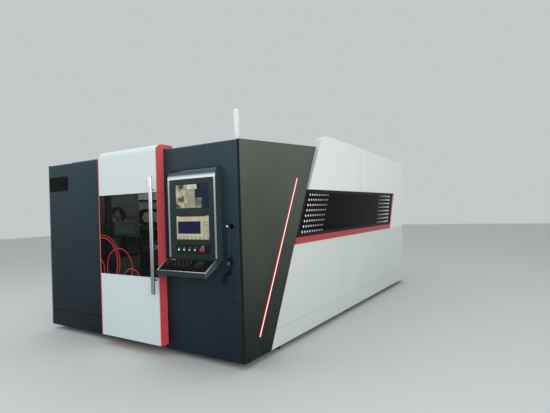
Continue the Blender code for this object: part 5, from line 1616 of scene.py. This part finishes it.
# %% [markdown]
# Through the door's pane one looks at the inner wall of the left cabinet. Such a wall is lined with a
# folded sheet, and a wiring duct with a clip-on lid runs along it. Each is a block whose face is inset
# twice and pushed in, which leaves a frame round a lid. The right wall has the same lining and duct.

# %% Linings and ducts on the doorway's walls
LINING = 0.004
DUCT = 0.005
left_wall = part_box("left_cabinet")[1][0]
right_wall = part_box("console_cabinet")[0][0]
wall_y = (FRONT + 0.018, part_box("left_cabinet")[1][1] - 0.012)
LINING_Z = (0.30, 2.24)
DUCT_Z = (1.530, 1.578)
inner_coat = powder_coat("dark grey powder coat, inside", "303D43", "20282C", 0.5)
terminal_plastic = moulded("dark grey moulded ABS", "50585C", 0.5)


def wall_block(name, wall, way, start, depth, span_y, span_z, rim, dent, finish):
    """A block on a wall that looks along X, with a framed lid. It starts at a distance from the wall."""
    near = wall + way * start
    far = near + way * depth
    block = new_block(name, (min(near, far), span_y[0], span_z[0]), (max(near, far), span_y[1], span_z[1]))
    press(block, (way, 0, 0), [rim, dent], dent)
    bevel_edges(block, 0.0012)
    smooth(block)
    block.data.materials.append(finish)
    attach(block, "machine")
    return block


for name, wall, way in (("left", left_wall, 1), ("right", right_wall, -1)):
    wall_block(f"{name}_lining", wall, way, GAP, LINING, wall_y, LINING_Z, 0.022, 0.002, inner_coat)
    wall_block(f"{name}_duct", wall, way, GAP + LINING, DUCT, wall_y, DUCT_Z, 0.006, 0.0015, black_abs)
print("doorway", round(right_wall - left_wall, 3), "m wide")

# %% [markdown]
# The left wall also carries the machine's services: a terminal box, and boxes for the grease and for the
# air valves. They are shallow, so that the doorway stays clear, and they differ in size and in the lid's
# frame.

# %% Service boxes on the left wall
BOX_START = GAP + LINING
TERMINAL_DEPTH = 0.040
TERMINAL_Z = (1.335, 1.520)
TERMINAL_Y = (FRONT + 0.030, FRONT + 0.330)
# Each box: its depth, its span of y, its span of z, the rim and the dent of its lid, and its finish.
BOXES = {
    "terminal_box": (TERMINAL_DEPTH, TERMINAL_Y, TERMINAL_Z, 0.014, 0.003, terminal_plastic),
    "grease_box": (0.048, (FRONT + 0.190, FRONT + 0.440), (1.075, 1.315), 0.020, 0.006, black_abs),
    "valve_box": (0.034, (FRONT + 0.060, FRONT + 0.430), (0.800, 1.045), 0.012, 0.003, terminal_plastic),
}
for name, sizes in BOXES.items():
    wall_block(name, left_wall, 1, BOX_START, *sizes)
LID_SCREW_IN = 0.007
lid_places = [
    (left_wall + BOX_START + TERMINAL_DEPTH, y, z)
    for y in (TERMINAL_Y[0] + LID_SCREW_IN, TERMINAL_Y[1] - LID_SCREW_IN)
    for z in (TERMINAL_Z[0] + LID_SCREW_IN, TERMINAL_Z[1] - LID_SCREW_IN)
]
screws("lid_screws", "machine", lid_places, (1, 0, 0), 0.0045, 0.003)
bpy.data.objects.remove(screw)
print("service boxes", len(BOXES), "lid screws", len(lid_places))

# %% [markdown]
# A steel conduit arches over from one side of the terminal box to the other. Its section is a circle of
# edges that is pulled up, spun through half a turn and pulled down again. A bent cylinder would thin out in
# the bend, and a curve would do as well, but the spin keeps every section round. Hexagonal glands close its
# ends.

# %% Conduit over the terminal box
CONDUIT_RADIUS = 0.015
CONDUIT_BEND = 0.085
CONDUIT_RISE = 0.080
GLAND_DEPTH = 0.014
conduit_x = left_wall + BOX_START + DUCT + CONDUIT_RADIUS + 0.002
conduit_y = FRONT + 0.125
conduit_foot = TERMINAL_Z[1] + GAP
section_middle = (conduit_x, conduit_y - CONDUIT_BEND, conduit_foot)
bend_middle = (conduit_x, conduit_y, conduit_foot + CONDUIT_RISE)
let_go()
bpy.ops.mesh.primitive_circle_add(vertices=20, radius=CONDUIT_RADIUS, location=section_middle)
conduit = settle("steel_conduit")
bpy.ops.object.mode_set(mode="EDIT")
bpy.ops.mesh.select_all(action="SELECT")
bpy.ops.mesh.extrude_region_move(TRANSFORM_OT_translate={"value": (0, 0, CONDUIT_RISE)})
bpy.ops.mesh.spin(steps=20, angle=math.pi, center=bend_middle, axis=(1, 0, 0))
bpy.ops.mesh.extrude_region_move(TRANSFORM_OT_translate={"value": (0, 0, -CONDUIT_RISE)})
bpy.ops.mesh.select_all(action="SELECT")
bpy.ops.mesh.remove_doubles(threshold=0.0001)
bpy.ops.mesh.fill_holes(sides=0)
bpy.ops.mesh.normals_make_consistent(inside=False)
done()
smooth(conduit)
conduit.data.materials.append(black_abs)
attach(conduit, "machine")
glands = []
for side in (-1, 1):
    gland_middle = (conduit_x, conduit_y + side * CONDUIT_BEND, conduit_foot + GLAND_DEPTH / 2 + GAP)
    gland = opened(new_cylinder("conduit_gland", 6, 0.0185, GLAND_DEPTH, gland_middle), "Z", 0.0008)
    bevel_edges(gland, 0.001, 1)
    glands.append(gland)
conduit_glands = joined("conduit_glands", glands)
conduit_glands.data.materials.append(foot_steel)
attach(conduit_glands, "machine")
print("conduit faces", len(conduit.data.polygons), "top", round(bend_middle[2] + CONDUIT_BEND, 3))

# %% [markdown]
# A plain pale floor carries the machine's soft shadow. It belongs to the stage and not to the machine.
# Large soft lamps stand above and in front, a small one lights the doorway, and the sky is even, so that a
# colour renders about as it is written.

# %% Floor
let_go()
bpy.ops.mesh.primitive_plane_add(size=60, location=(0, 0, 0))
floor = settle("floor")
floor_paint = new_material("pale floor", {"Base Color": colour("CDD2D1"), "Roughness": 0.6})[0]
floor.data.materials.append(floor_paint)
print("floor is", round(floor.dimensions.x), "m wide")

# %% Lamps and sky


def soft_lamp(name, place, target, size, power):
    """A rectangular lamp that looks from its place at a target, and isn't seen itself."""
    lamp_data = bpy.data.lights.new(name, "AREA")
    lamp_data.shape = "RECTANGLE"
    lamp_data.size = size[0]
    lamp_data.size_y = size[1]
    lamp_data.energy = power
    lamp = bpy.data.objects.new(name, lamp_data)
    lamp.visible_camera = False
    bpy.context.scene.collection.objects.link(lamp)
    way = (Vector(target) - Vector(place)).to_track_quat("-Z", "Y")
    lamp.matrix_world = Matrix.Translation(place) @ way.to_matrix().to_4x4()
    return lamp


soft_lamp("roof_lamp", (0, -1.5, 7.0), (0, 0, 0), (9, 9), 215)
soft_lamp("front_lamp", (-3.5, -8.5, 4.5), (0, -2.6, 1.2), (6, 4), 95)
soft_lamp("side_lamp", (8.6, -8.2, 4.2), (1.7, 0, 1.2), (6, 4), 300)
soft_lamp("inside_lamp", (0.9, -1.1, 1.95), (-1.4, -1.6, 1.3), (0.5, 0.5), 24)
world = bpy.data.worlds.new("sky")
bpy.context.scene.world = world
world.use_nodes = True
background = world.node_tree.nodes["Background"]
background.inputs["Color"].default_value = colour("F4F7F8")
background.inputs["Strength"].default_value = 0.62
bpy.context.scene.view_settings.view_transform = "Standard"
print("lamps", len(bpy.data.lights))
